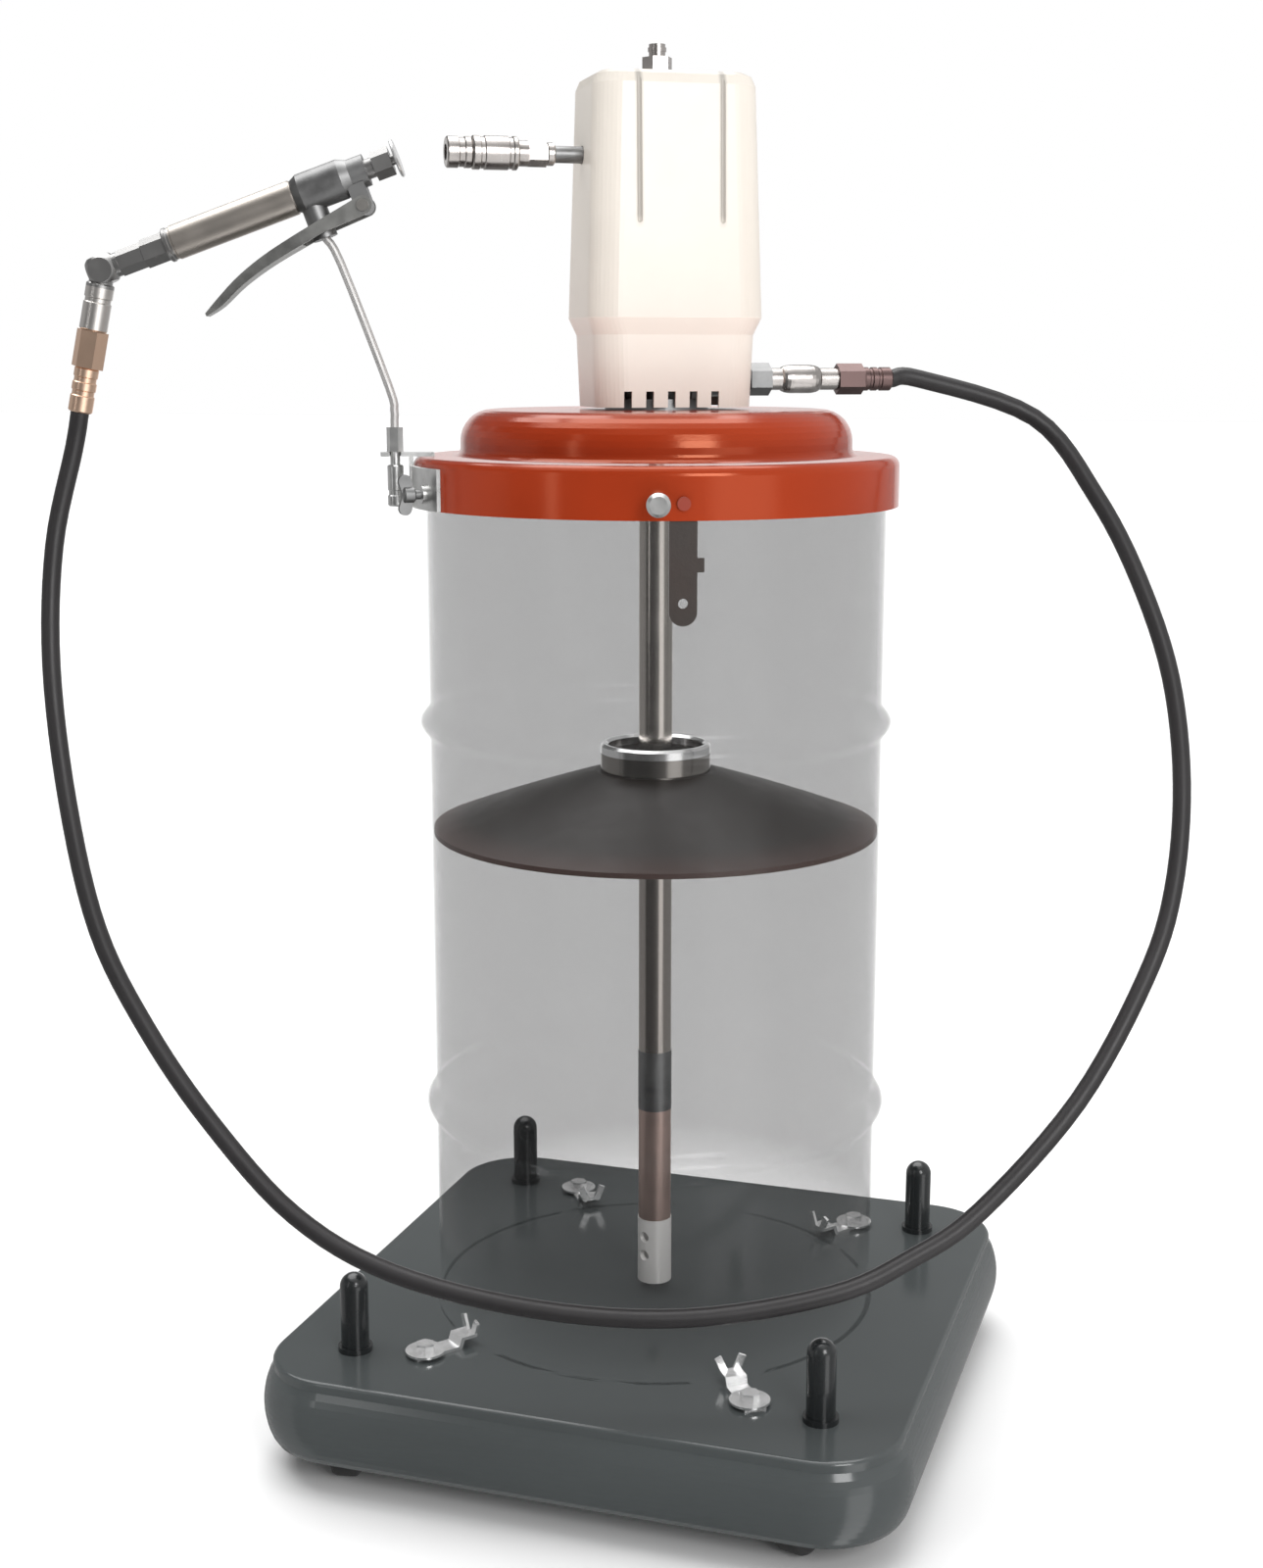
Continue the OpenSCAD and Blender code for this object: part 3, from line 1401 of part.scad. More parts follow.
// Cast valve body with the pipe's boss and the lever's lug
module valve_body() {
    start = grip_start + grip_l + run_fit;
    length = barrel_end - start;
    neck_r = barrel_r - barrel_step;
    color(cast_grey) gun_frame() difference() {
        union() {
            turned_x(start, [
                [0, 0], [neck_r, 0], [barrel_r, barrel_step * 2], [barrel_r, length * barrel_shares[0]],
                [neck_r, length * barrel_shares[1]], [neck_r, length], [0, length]
            ]);
            translate([boss_at, 0, boss_end]) cylinder(r = boss_r, h = -boss_end);
            translate([pivot_at.x, 0, 0]) rotate([90, 0, 0]) linear_extrude(height = lug_w, center = true) {
                translate([0, pivot_at.y]) circle(r = lug_r);
                translate([-lug_r, pivot_at.y]) square([lug_r * 2, -pivot_at.y - barrel_r / 2]);
            }
        }
        translate([pivot_at.x, 0, pivot_at.y]) rotate([90, 0, 0])
            cylinder(r = pivot_r + run_fit, h = lug_w + over * 2, center = true);
        translate([boss_at, 0, boss_end - over]) cylinder(r = pipe_r + run_fit, h = pipe_socket + over);
    }
}

// Forked squeeze lever in the side view of the gun, as far as its tip
module gun_lever() {
    low = -grip_d / 2 - lever_gap;
    places = [for (p = lever_shares) [
        lever_tip_s + (pivot_at.x - lever_tip_s) * p[0], low + lever_drop * p[1], lever_t * p[2] / 2
    ]];
    color(cast_grey) gun_frame() difference() {
        rotate([90, 0, 0]) linear_extrude(height = lever_half_w * 2, center = true) difference() {
            union() {
                translate(pivot_at) circle(r = lever_root_r);
                polygon(concat(
                    smooth([for (p = places) [p[0], p[1] + p[2]]], lever_steps),
                    [pivot_at + [0, lever_root_r], pivot_at - [0, lever_root_r]],
                    reversed(smooth([for (p = places) [p[0], p[1] - p[2]]], lever_steps))
                ));
            }
            translate(pivot_at) circle(r = pivot_r + run_fit);
        }
        translate([lever_slot_from, -lever_slot_half, -grip_d * 3])
            cube([barrel_end, lever_slot_half * 2, grip_d * 3]);
        for (side = [0, 1]) mirror([0, side, 0]) translate([0, 0, -grip_d * 3])
            linear_extrude(height = grip_d * 3) polygon([
                [lever_tip_s - over, lever_tip_w], [lever_slot_from, lever_half_w],
                [lever_slot_from, lever_half_w + over], [lever_tip_s - over, lever_half_w + over]
            ]);
    }
}

module lever_pin() {
    color(steel) gun_frame() translate([pivot_at.x, 0, pivot_at.y]) rotate([90, 0, 0]) {
        cylinder(r = pivot_r, h = lever_half_w * 2 + pin_head_t * 2, center = true);
        for (side = [-1, 1]) translate([0, 0, side * (lever_half_w + pin_head_t / 2 + fit)])
            cylinder(r = pivot_r * 1.5, h = pin_head_t, center = true);
    }
}

// Plug at the valve's end, with its thin thumb disc
module gun_end_plug() {
    color(steel) gun_frame() {
        along_x(barrel_end + run_fit, plug_neck_end, plug_neck_r);
        hex_x(plug_neck_end, plug_end, plug_af);
        along_x(plug_end - over, disc_at + over, disc_stem_r);
        turned_x(disc_at, barrel(disc_r, disc_t, [], 0, disc_t / 3));
    }
}

// Bent steel pipe from the valve's boss down to the coupler
module extension_pipe() {
    socket = [for (t = [boss_end + pipe_socket / 2, boss_end]) [
        boss_at * cos(gun_rise) - t * sin(gun_rise), boss_at * sin(gun_rise) + t * cos(gun_rise)
    ]];
    run = [coupler_at, coupler_top] - socket[1];
    places = [for (share = pipe_shares) socket[1] + [run.x * share.x, run.y * share.y]];
    pts = [for (p = concat(socket, places)) [p.x, 0, p.y]];
    color(nickel) gun_plane() swept_tube(smooth(pts, pipe_steps), pipe_r, pipe_sides, [0, 1, 0]);
}

// Push-on coupler that grips a grease fitting
module hydraulic_coupler() {
    neck_top = coupler_top - coupler_nut_l;
    bottom = coupler_top - coupler_l;
    body_l = neck_top - coupler_neck_l - bottom;
    color(nickel) gun_plane() translate([coupler_at, 0, 0]) difference() {
        union() {
            translate([0, 0, neck_top]) hex(coupler_nut_af, coupler_nut_l);
            translate([0, 0, bottom]) cylinder(r = coupler_neck_r, h = neck_top + over - bottom);
            translate([0, 0, bottom])
                turned(barrel(coupler_r, body_l, coupler_groove_shares, turn_groove, turn_chamfer));
        }
        translate([0, 0, bottom - over]) cylinder(r = coupler_bore_r, h = coupler_bore + over);
        translate([0, 0, coupler_top - pipe_socket]) cylinder(r = pipe_r + run_fit, h = pipe_socket + over);
    }
}

dolly_pan();
corner_posts();
caster_stems();
drum_clips();
clip_bolts();
drum_shell();
caster_fork_fl();
caster_fork_fr();
caster_fork_bl();
caster_fork_br();
caster_wheel_fl();
caster_wheel_fr();
caster_wheel_bl();
caster_wheel_br();
follower_cone();
follower_collar();
follower_wiper();
follower_plate();
drum_cover();
cover_gasket();
clamp_nuts();
clamp_screw_front();
clamp_screw_right();
clamp_screw_left();
gun_bracket();
bracket_screw();
rim_strap();
pump_base();
base_bolts();
packing_gland();
lower_housing();
upper_housing();
cylinder_base();
air_cylinder();
valve_head();
tie_rods();
cap_nut();
air_piston();
piston_seal();
pump_rod();
pump_tube();
tube_coupling();
lower_tube();
foot_valve();
check_ball();
inlet_nipple();
coupler_body();
coupler_sleeve();
outlet_adapter();
outlet_union();
hose_ferrules();
hose();
swivel_elbow();
gun_grip();
valve_body();
gun_lever();
lever_pin();
gun_end_plug();
extension_pipe();
hydraulic_coupler();
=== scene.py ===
"""Looks of the pneumatic grease pump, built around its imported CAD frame."""

from functools import reduce
from math import cos, radians, sin

import bpy
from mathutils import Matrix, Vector


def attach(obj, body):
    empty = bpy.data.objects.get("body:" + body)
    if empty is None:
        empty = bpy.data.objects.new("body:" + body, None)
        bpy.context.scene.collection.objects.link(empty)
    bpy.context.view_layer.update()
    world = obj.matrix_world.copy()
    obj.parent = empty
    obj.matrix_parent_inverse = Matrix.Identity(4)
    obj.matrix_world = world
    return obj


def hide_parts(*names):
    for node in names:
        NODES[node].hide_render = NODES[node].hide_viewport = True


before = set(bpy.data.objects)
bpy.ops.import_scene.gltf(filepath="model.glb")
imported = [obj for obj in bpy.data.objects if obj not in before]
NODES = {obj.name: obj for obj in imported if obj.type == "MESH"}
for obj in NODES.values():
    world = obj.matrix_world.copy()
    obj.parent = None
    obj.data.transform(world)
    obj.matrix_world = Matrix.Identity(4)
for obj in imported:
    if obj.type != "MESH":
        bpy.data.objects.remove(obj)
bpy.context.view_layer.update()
MM = 0.001

# Camera at the photograph's viewing angle
CAMERA_AT = (0.5118, -1.6211, 0.851)
CAMERA_TURN = (78.94, 0, 18.17)
CAMERA_LENS = 49.6
CAMERA_SENSOR = 36
CAMERA_CLIP = (0.05, 50)
# Directions of the camera's view along the floor, and of its right side
VIEW_AXIS = (-0.3118, 0.9501, 0)
RIGHT_AXIS = (0.9501, 0.3118, 0)
UP = (0, 0, 1)
DOWN = (0, 0, -1)
ACROSS = (1, 0, 0)

# Placement of the pump and the gun, as in the part
PUMP_YAW = radians(32.5)
PUMP_SIDE = Vector((cos(PUMP_YAW), sin(PUMP_YAW), 0))
PUMP_FRONT = Vector((sin(PUMP_YAW), -cos(PUMP_YAW), 0))
GUN_AT = Vector((-0.3902, -0.1534, 0.91885))
GUN_YAW = radians(18)
GUN_RISE = radians(20)
HOSE_LEAN = radians(12)
GUN_AXIS = Vector((cos(GUN_RISE) * cos(GUN_YAW), cos(GUN_RISE) * sin(GUN_YAW), sin(GUN_RISE)))
HOSE_AXIS = -Vector((sin(HOSE_LEAN) * cos(GUN_YAW), sin(HOSE_LEAN) * sin(GUN_YAW), cos(HOSE_LEAN)))
OUTLET_Z = 0.8376

# Hose: its free stretch between the two ferrules, in millimetres
HOSE_D = 14
FERRULE_OUT = 192
FERRULE_GUN = 108
HOSE_INSERT = 18
HOSE_STEP = 31
HOSE_START_SHARE = 0.8
HOSE_END_SHARE = 0.9
HOSE_ROUTE = [
    (270, 155, 807), (322, 148, 746), (360, 130, 682), (390, 105, 609), (405, 68, 531),
    (405, 28, 455), (390, -10, 394), (350, -66, 312), (289, -122, 240), (245, -153, 210),
    (193, -185, 188), (95, -224, 173), (-10, -252, 177), (-115, -270, 198), (-191, -275, 235),
    (-260, -270, 297), (-316, -261, 361), (-363, -247, 430), (-401, -220, 520), (-425, -196, 622),
    (-430, -176, 712),
]
# How many steps the hose's curve takes between its route's points, and the smoothness of its tube
HOSE_STEPS = 6
HOSE_ROUNDNESS = 8

# Where finishes change, in metres: outwards from the gun's elbow, and up from the floor; up from the floor
# also lie the top of the collar's painted shade and the top of the tube's painted shade
GRIP_FROM = 0.057
DISC_FROM = 0.2365
SLEEVE_FROM = 0.013
COLLAR_LIP = 0.545
TUBE_PAINTED_SHADE_BELOW = 0.5
TUBE_PAINTED_SHADE_BLEND = 0.04
DRUM_FADE = (0.10, 0.17)
# And outwards from the pump's axis
CONE_EDGE = (0.150, 0.178)
STRAP_FOOT = (0.1875, 0.1885)

# Flutes of the housing's front, which get a painted shade: how far they lie to each side, and where they
# start
FLUTES_AT = (-0.026, 0.038)
FLUTE_W = 0.0036
FLUTE_CORE_SHARE = 0.3
FLUTE_DEEP = 0.035
FLUTE_BOTTOM = 0.948
FLUTE_END = 0.01

# Grain of the finishes, as the scale of their noise
DRUM_CLOUD = 3
PAINT_CLOUD = 7
PLASTIC_CLOUD = 18
PAINT_POLISH = 30
METAL_BLOTCH = 55
PLASTIC_POLISH = 60
PEEL_GRAIN = 420
RUBBER_GRAIN = 500
PLASTIC_GRAIN = 600
HOSE_GRAIN = 900
METAL_GRAIN = 900

# Least and most of a finish's roughness, as shares of its value
PAINT_POLISH_SHARES = (0.9, 1.15)
PLASTIC_POLISH_SHARES = (0.85, 1.2)
METAL_POLISH_SHARES = (0.7, 1.4)
TWO_TONE_POLISH_SHARES = (0.8, 1.3)

# Share of blotches in a change of tone, and the stops of its ramp that make room for them
TWO_TONE_BLOTCH_SHARE = 0.25
TWO_TONE_STOPS = (0.15, 1.0)
RINGED_BLOTCH_SHARE = 0.1
RINGED_STOPS = (0.05, 1.0)
CLOUD_STOPS = (0.35, 0.65)

# Depth of the finest relief, in metres
METAL_RELIEF = 0.0002
PLASTIC_RELIEF = 0.0003
PAINT_RELIEF = 0.0004

# Streaks of the metal's grain, as its stretch along the three axes
EVEN = (1, 1, 1)
DRAWN = (1, 1, 0.05)
TURNED = (1, 1, 6)
TURNED_WIDE = (1, 1, 5)
TURNED_COARSE = (1, 1, 3)

# Colour sockets of the mix node, by number because their names aren't unique
MIX_FIRST = 6
MIX_SECOND = 7
MIX_RESULT = 2

# Softened edges of the nodes, in millimetres
EDGE = 0.5
EDGE_SEGMENTS = 2
SMOOTH_ANGLE = radians(32)
# Nodes whose solids are round at the edges already
UNBEVELLED = {"lower_housing", "upper_housing", "extension_pipe"}

# Pieces that the deck and the drum don't mirror
NOT_MIRRORED = ["drum_shell", "drum_cover", "pump_tube", "tube_coupling", "lower_tube", "foot_valve"]

# Studio
FLOOR_HALF = 30
FLOOR_TONE = (0.93, 0.93, 0.93)
SUN = {"at": (-0.3, 0.35, 1.2), "power": 2.3, "angle": radians(60)}
SOFT_BOXES = {
    "key": {"at": (1.9, -2.2, 1.7), "aim": (0, 0, 0.7), "wide": 1.1, "high": 1.4, "power": 38},
    "strip": {"at": (-1.3, -2.3, 1.2), "aim": (0, 0, 0.6), "wide": 0.22, "high": 1.8, "power": 2.5},
}
# Crossings of the see-through drum that a ray may make
CLEAR_BOUNCES = 24

# Surroundings. Each span says between which cosines to an axis a brightness changes
BACK_SPAN = (0.8, 0.93)
BACK_TOP_SPAN = (0.17, 0.26)
BACK_TOP_SHARE = 0.15
TOP_SPAN = (0.72, 0.9)
TOP_LIGHT = 1.15
SIDE_SPAN = (-0.4, 0.8)
LEFT_LIGHT = 0.16
RIGHT_LIGHT = 0.6
BELOW_SPAN = (-0.1, 0.05)
BELOW_SHARE = 0.7
# A low card 40 degrees to the right of the camera
CARD_AXIS = (0.850, -0.527, 0)
CARD_SPAN = (0.93, 0.985)
CARD_TOP_SPAN = (-0.02, 0.06)
CARD_LIGHT = 1.6
# A dim wall to the left, from beside the pump to behind the camera
REAR_SPAN = (-0.45, -0.2)
REAR_TOP_SPAN = (0.25, 0.45)
REAR_LEFT_SPAN = (-0.6, -0.35)
REAR_LIGHT = 0.42


def make_camera():
    """The camera that sees what the photograph's camera saw."""
    data = bpy.data.cameras.new("camera")
    data.lens, data.sensor_width = CAMERA_LENS, CAMERA_SENSOR
    data.clip_start, data.clip_end = CAMERA_CLIP
    camera = bpy.data.objects.new("camera", data)
    camera.location = CAMERA_AT
    camera.rotation_euler = [radians(a) for a in CAMERA_TURN]
    bpy.context.scene.collection.objects.link(camera)
    bpy.context.scene.camera = camera


# Node trees

class Nodes:
    """A short way to add nodes to a tree."""

    def __init__(self, tree):
        self.tree = tree

    def link(self, a, b):
        self.tree.links.new(a, b)

    def node(self, kind, **values):
        """A node with its properties, or else the values of its inputs."""
        made = self.tree.nodes.new(kind)
        for key, value in values.items():
            if hasattr(made, key):
                setattr(made, key, value)
            else:
                made.inputs[key.replace("_", " ")].default_value = value
        return made

    def math(self, operation, *values):
        """The result of an operation on numbers and sockets."""
        made = self.node("ShaderNodeMath", operation=operation)
        for socket, value in zip(made.inputs, values):
            if isinstance(value, (int, float)):
                socket.default_value = value
            else:
                self.link(value, socket)
        return made.outputs["Value"]

    def chain(self, operation, *parts):
        """One operation over all the parts, from the first to the last."""
        return reduce(lambda total, part: self.math(operation, total, part), parts)

    def vector(self, operation, source, by=None):
        """The outputs of an operation on a vector and, where there is one, a fixed second vector."""
        made = self.node("ShaderNodeVectorMath", operation=operation)
        self.link(source, made.inputs[0])
        if by is not None:
            made.inputs[1].default_value = by
        return made.outputs

    def dot(self, source, axis):
        """How far a vector reaches along an axis."""
        return self.vector("DOT_PRODUCT", source, axis)["Value"]

    def step(self, value, span, low=0, high=1, shape="LINEAR"):
        """A number that goes from low to high as a value passes through a span."""
        made = self.node("ShaderNodeMapRange", interpolation_type=shape)
        made.inputs["From Min"].default_value, made.inputs["From Max"].default_value = span
        made.inputs["To Min"].default_value, made.inputs["To Max"].default_value = low, high
        self.link(value, made.inputs["Value"])
        return made.outputs["Result"]


class Graph(Nodes):
    """The nodes of one material."""

    def __init__(self, material):
        super().__init__(material.node_tree)
        self.shader = self.tree.nodes["Principled BSDF"]
        self.coords = self.tree.nodes.new("ShaderNodeTexCoord").outputs["Object"]

    def drive(self, value, name):
        """Let a socket set an input of the shader."""
        self.link(value, self.shader.inputs[name])

    def scaled(self, x, y, z):
        """Object coordinates stretched along the axes."""
        mapping = self.node("ShaderNodeMapping", Scale=(x, y, z))
        self.link(self.coords, mapping.inputs["Vector"])
        return mapping.outputs["Vector"]

    def noise(self, scale, detail=3, coords=None):
        made = self.node("ShaderNodeTexNoise", Scale=scale, Detail=detail)
        self.link(coords or self.coords, made.inputs["Vector"])
        return made.outputs["Fac"]

    def ramp(self, fac, low, high, stops):
        """A colour ramp between two colours."""
        made = self.node("ShaderNodeValToRGB")
        for element, at, colour in zip(made.color_ramp.elements, stops, (low, high)):
            element.position, element.color = at, (*colour, 1)
        self.link(fac, made.inputs["Fac"])
        return made.outputs["Color"]

    def tone(self, fac, base, change):
        """The base colour, lighter and darker by a share."""
        low, high = tinted(base, 1 - change), tinted(base, 1 + change)
        self.drive(self.ramp(fac, low, high, CLOUD_STOPS), "Base Color")

    def polish(self, fac, roughness, shares):
        """The roughness, between two shares of its value."""
        least, most = (roughness * share for share in shares)
        self.drive(self.step(fac, (0, 1), least, most), "Roughness")

    def along(self, axis, start, blend):
        """A factor that goes from 0 to 1 where the place along an axis passes start."""
        return self.step(self.dot(self.coords, axis), (start, start + blend))

    def outward(self, span):
        """A factor that goes from 0 to 1 as the distance from the upright axis passes through a span."""
        return self.step(self.vector("LENGTH", self.scaled(1, 1, 0))["Value"], span)

    def band(self, axis, middle, core, width):
        """A factor that is 1 over the core of a band across an axis and fades to 0 at its width."""
        off = self.math("ABSOLUTE", self.math("SUBTRACT", self.dot(self.coords, axis), middle))
        return self.step(off, (core, width), 1, 0)

    def mixed(self, a, b, share):
        """A factor with a share of another one added."""
        return self.math("MULTIPLY_ADD", b, share, a)

    def shade(self, fac, colour):
        """Mix a colour over the base colour that is linked so far."""
        before = self.shader.inputs["Base Color"].links[0].from_socket
        made = self.node("ShaderNodeMix", data_type="RGBA")
        self.link(fac, made.inputs["Factor"])
        self.link(before, made.inputs[MIX_FIRST])
        made.inputs[MIX_SECOND].default_value = (*colour, 1)
        self.drive(made.outputs[MIX_RESULT], "Base Color")

    def bump(self, height, distance, strength):
        made = self.node("ShaderNodeBump", Strength=strength, Distance=distance)
        self.link(height, made.inputs["Height"])
        self.drive(made.outputs["Normal"], "Normal")


# Materials

MATERIALS = {}


def new_material(name, base, metallic, roughness, **sockets):
    """A material whose even values sit on the shader's own sockets."""
    made = bpy.data.materials.new(name)
    made.use_nodes = True
    shader = made.node_tree.nodes["Principled BSDF"]
    shader.inputs["Base Color"].default_value = (*base, 1)
    shader.inputs["Metallic"].default_value = metallic
    shader.inputs["Roughness"].default_value = roughness
    for key, value in sockets.items():
        shader.inputs[key.replace("_", " ")].default_value = value
    MATERIALS[name] = made
    return made


def tinted(colour, factor):
    return tuple(min(1.0, c * factor) for c in colour)


def paint(name, base, roughness, peel, dust=0.08, **sockets):
    """Glossy paint with orange peel and a little dust in its tone."""
    g = Graph(new_material(name, base, 0, roughness, **sockets))
    g.tone(g.noise(PAINT_CLOUD, detail=4), base, dust)
    g.polish(g.noise(PAINT_POLISH, detail=4), roughness, PAINT_POLISH_SHARES)
    g.bump(g.noise(PEEL_GRAIN, detail=2), PAINT_RELIEF, peel)


def metal(name, base, roughness, streaks=EVEN, spots=0.12, marking=0.18, metallic=1.0):
    """Bare or plated metal with fine turning marks and uneven polish."""
    g = Graph(new_material(name, base, metallic, roughness))
    blotch = g.noise(METAL_BLOTCH, detail=5)
    g.tone(blotch, base, spots)
    g.polish(blotch, roughness, METAL_POLISH_SHARES)
    g.bump(g.noise(METAL_GRAIN, coords=g.scaled(*streaks)), METAL_RELIEF, marking)
    return g


def two_tone(name, first, second, axis, start, roughness, blend=0.0006):
    """Metal that changes its tone at a place along an axis: a second finish on most pieces, painted shade on
    the collar.
    """
    g = Graph(new_material(name, first, 1, roughness))
    blotch = g.noise(METAL_BLOTCH, detail=5)
    fac = g.mixed(g.along(axis, start, blend), blotch, TWO_TONE_BLOTCH_SHARE)
    g.drive(g.ramp(fac, first, second, TWO_TONE_STOPS), "Base Color")
    g.polish(blotch, roughness, TWO_TONE_POLISH_SHARES)
    g.bump(g.noise(METAL_GRAIN), METAL_RELIEF, strength=0.1)


def moulded(name, base, roughness, grain, depth, cloud=0.1, **sockets):
    """Moulded plastic or rubber with a fine grain."""
    g = Graph(new_material(name, base, 0, roughness, **sockets))
    g.tone(g.noise(PLASTIC_CLOUD, detail=4), base, cloud)
    g.polish(g.noise(PLASTIC_POLISH), roughness, PLASTIC_POLISH_SHARES)
    g.bump(g.noise(grain), PLASTIC_RELIEF, depth)
    return g


def cream(name, base):
    """The smooth, slightly glazed plastic of the housings."""
    return moulded(name, base, roughness=0.34, grain=RUBBER_GRAIN, depth=0.05, cloud=0.015,
                   Coat_Weight=0.15, Coat_Roughness=0.2)


def flute_painted_shade(g, shade):
    """Painted shade in the two flutes of the housing's front, darker over their middles."""
    core = FLUTE_W * FLUTE_CORE_SHARE
    either = g.chain("MAXIMUM", *[g.band(PUMP_SIDE, at, core, FLUTE_W) for at in FLUTES_AT])
    in_front = g.along(PUMP_FRONT, FLUTE_DEEP, MM)
    above_foot = g.along(UP, FLUTE_BOTTOM, FLUTE_END)
    g.shade(g.chain("MULTIPLY", either, in_front, above_foot), shade)


def ringed(name, base, outside, span, roughness):
    """Paint or rubber whose tone changes over a span outwards from the pump's axis."""
    g = Graph(new_material(name, base, 0, roughness))
    fac = g.mixed(g.outward(span), g.noise(PLASTIC_CLOUD, detail=4), RINGED_BLOTCH_SHARE)
    g.drive(g.ramp(fac, base, outside, RINGED_STOPS), "Base Color")
    g.polish(g.noise(PLASTIC_POLISH), roughness, PLASTIC_POLISH_SHARES)
    g.bump(g.noise(RUBBER_GRAIN), PLASTIC_RELIEF, strength=0.25)


def ghost(name, base, roughness, cloud, alpha, faint, fade):
    """The see-through grey of the drum, which fades out towards the deck."""
    made = new_material(name, base, 0, roughness, Specular_IOR_Level=0.5)
    made.surface_render_method = "BLENDED"
    g = Graph(made)
    g.tone(g.noise(DRUM_CLOUD), base, cloud)
    height = g.node("ShaderNodeSeparateXYZ")
    g.link(g.coords, height.inputs["Vector"])
    g.drive(g.step(height.outputs["Z"], fade, faint, alpha), "Alpha")


def make_paints():
    """Paints of the deck, the cover and its strap, and the see-through drum."""
    paint("deck paint", (0.068, 0.076, 0.077), roughness=0.15, peel=0.04, dust=0.03,
          Specular_IOR_Level=0.5)
    paint("red paint", (0.32, 0.032, 0.008), roughness=0.16, peel=0.12,
          Specular_IOR_Level=0.8, Specular_Tint=(1, 0.42, 0.25, 1))
    ringed("strap brown", (0.035, 0.026, 0.022), (0.28, 0.027, 0.008), STRAP_FOOT, roughness=0.35)
    ghost("drum ghost", (0.01, 0.01, 0.01), roughness=0.22, cloud=0.1, alpha=0.24, faint=0.01, fade=DRUM_FADE)


def make_plastics():
    """Plastics of the housings and posts, and the rubbers."""
    # The upper housing gets a painted shade in its two flutes
    flute_painted_shade(cream("upper cream", (0.79, 0.735, 0.66)), shade=(0.46, 0.43, 0.39))
    cream("lower cream", (0.88, 0.82, 0.74))
    moulded("black plastic", (0.016, 0.018, 0.019), roughness=0.24, grain=PLASTIC_GRAIN, depth=0.1,
            Coat_Weight=0.3)
    moulded("wheel rubber", (0.018, 0.018, 0.018), roughness=0.6, grain=RUBBER_GRAIN, depth=0.3)
    moulded("hose rubber", (0.022, 0.020, 0.021), roughness=0.42, grain=HOSE_GRAIN, depth=0.35)
    ringed("cone rubber", (0.020, 0.014, 0.011), (0.070, 0.040, 0.034), CONE_EDGE, roughness=0.42)


def make_metals():
    """Metals of the fittings, the fasteners, the motor and the tube."""
    metal("steel", (0.56, 0.54, 0.51), roughness=0.3, streaks=TURNED)
    metal("nickel", (0.50, 0.47, 0.45), roughness=0.24, streaks=TURNED_WIDE)
    metal("pipe nickel", (0.62, 0.61, 0.60), roughness=0.5, spots=0.06, marking=0.03, metallic=0.7)
    metal("zinc", (0.78, 0.78, 0.77), roughness=0.28)
    metal("chrome", (0.92, 0.92, 0.92), roughness=0.22, spots=0.06, metallic=0.85)
    metal("copper", (0.60, 0.45, 0.40), roughness=0.36, streaks=DRAWN, spots=0.06, marking=0.04,
          metallic=0.85)
    metal("foot steel", (0.98, 0.96, 0.94), roughness=0.3, streaks=TURNED_COARSE, spots=0.02, marking=0.1,
          metallic=0.25)
    metal("dark cast", (0.27, 0.27, 0.27), roughness=0.42, spots=0.2)
    metal("aluminium", (0.62, 0.63, 0.64), roughness=0.4, spots=0.08)
    metal("lever grey", (0.30, 0.30, 0.29), roughness=0.38, spots=0.2, marking=0.1, metallic=0.8)
    tube = metal("tube steel", (0.62, 0.58, 0.54), roughness=0.2, streaks=DRAWN, spots=0.03, marking=0.03)
    # Painted shade: the tube is darker below the cone, where it lies in shade
    tube.shade(tube.along(DOWN, -TUBE_PAINTED_SHADE_BELOW, TUBE_PAINTED_SHADE_BLEND), (0.50, 0.46, 0.43))


def make_two_tones():
    """Metals of the pieces that have two finishes, such as the gun's grip, and of the collar with its painted
    shade.
    """
    knob_at = GUN_AXIS.dot(GUN_AT) + DISC_FROM
    grip_at = GUN_AXIS.dot(GUN_AT) + GRIP_FROM
    sleeve_at = HOSE_AXIS.dot(GUN_AT) + SLEEVE_FROM
    two_tone("gun knob", (0.34, 0.335, 0.33), (0.9, 0.9, 0.9), GUN_AXIS, knob_at, roughness=0.34)
    two_tone("gun grip", (0.38, 0.375, 0.37), (0.60, 0.55, 0.50), GUN_AXIS, grip_at, roughness=0.36)
    two_tone("elbow", (0.42, 0.415, 0.41), (0.74, 0.71, 0.68), HOSE_AXIS, sleeve_at, roughness=0.32)
    # Painted shade: the collar's chrome is dark below its lip, where it meets the dark cone
    two_tone("collar chrome", (0.34, 0.32, 0.30), (0.95, 0.95, 0.95), UP, COLLAR_LIP, roughness=0.16)
    # Bright at the gun's end of the hose and dark at the outlet's
    two_tone("brass", (0.95, 0.67, 0.50), (0.17, 0.115, 0.11), ACROSS, 0, roughness=0.34, blend=0.01)


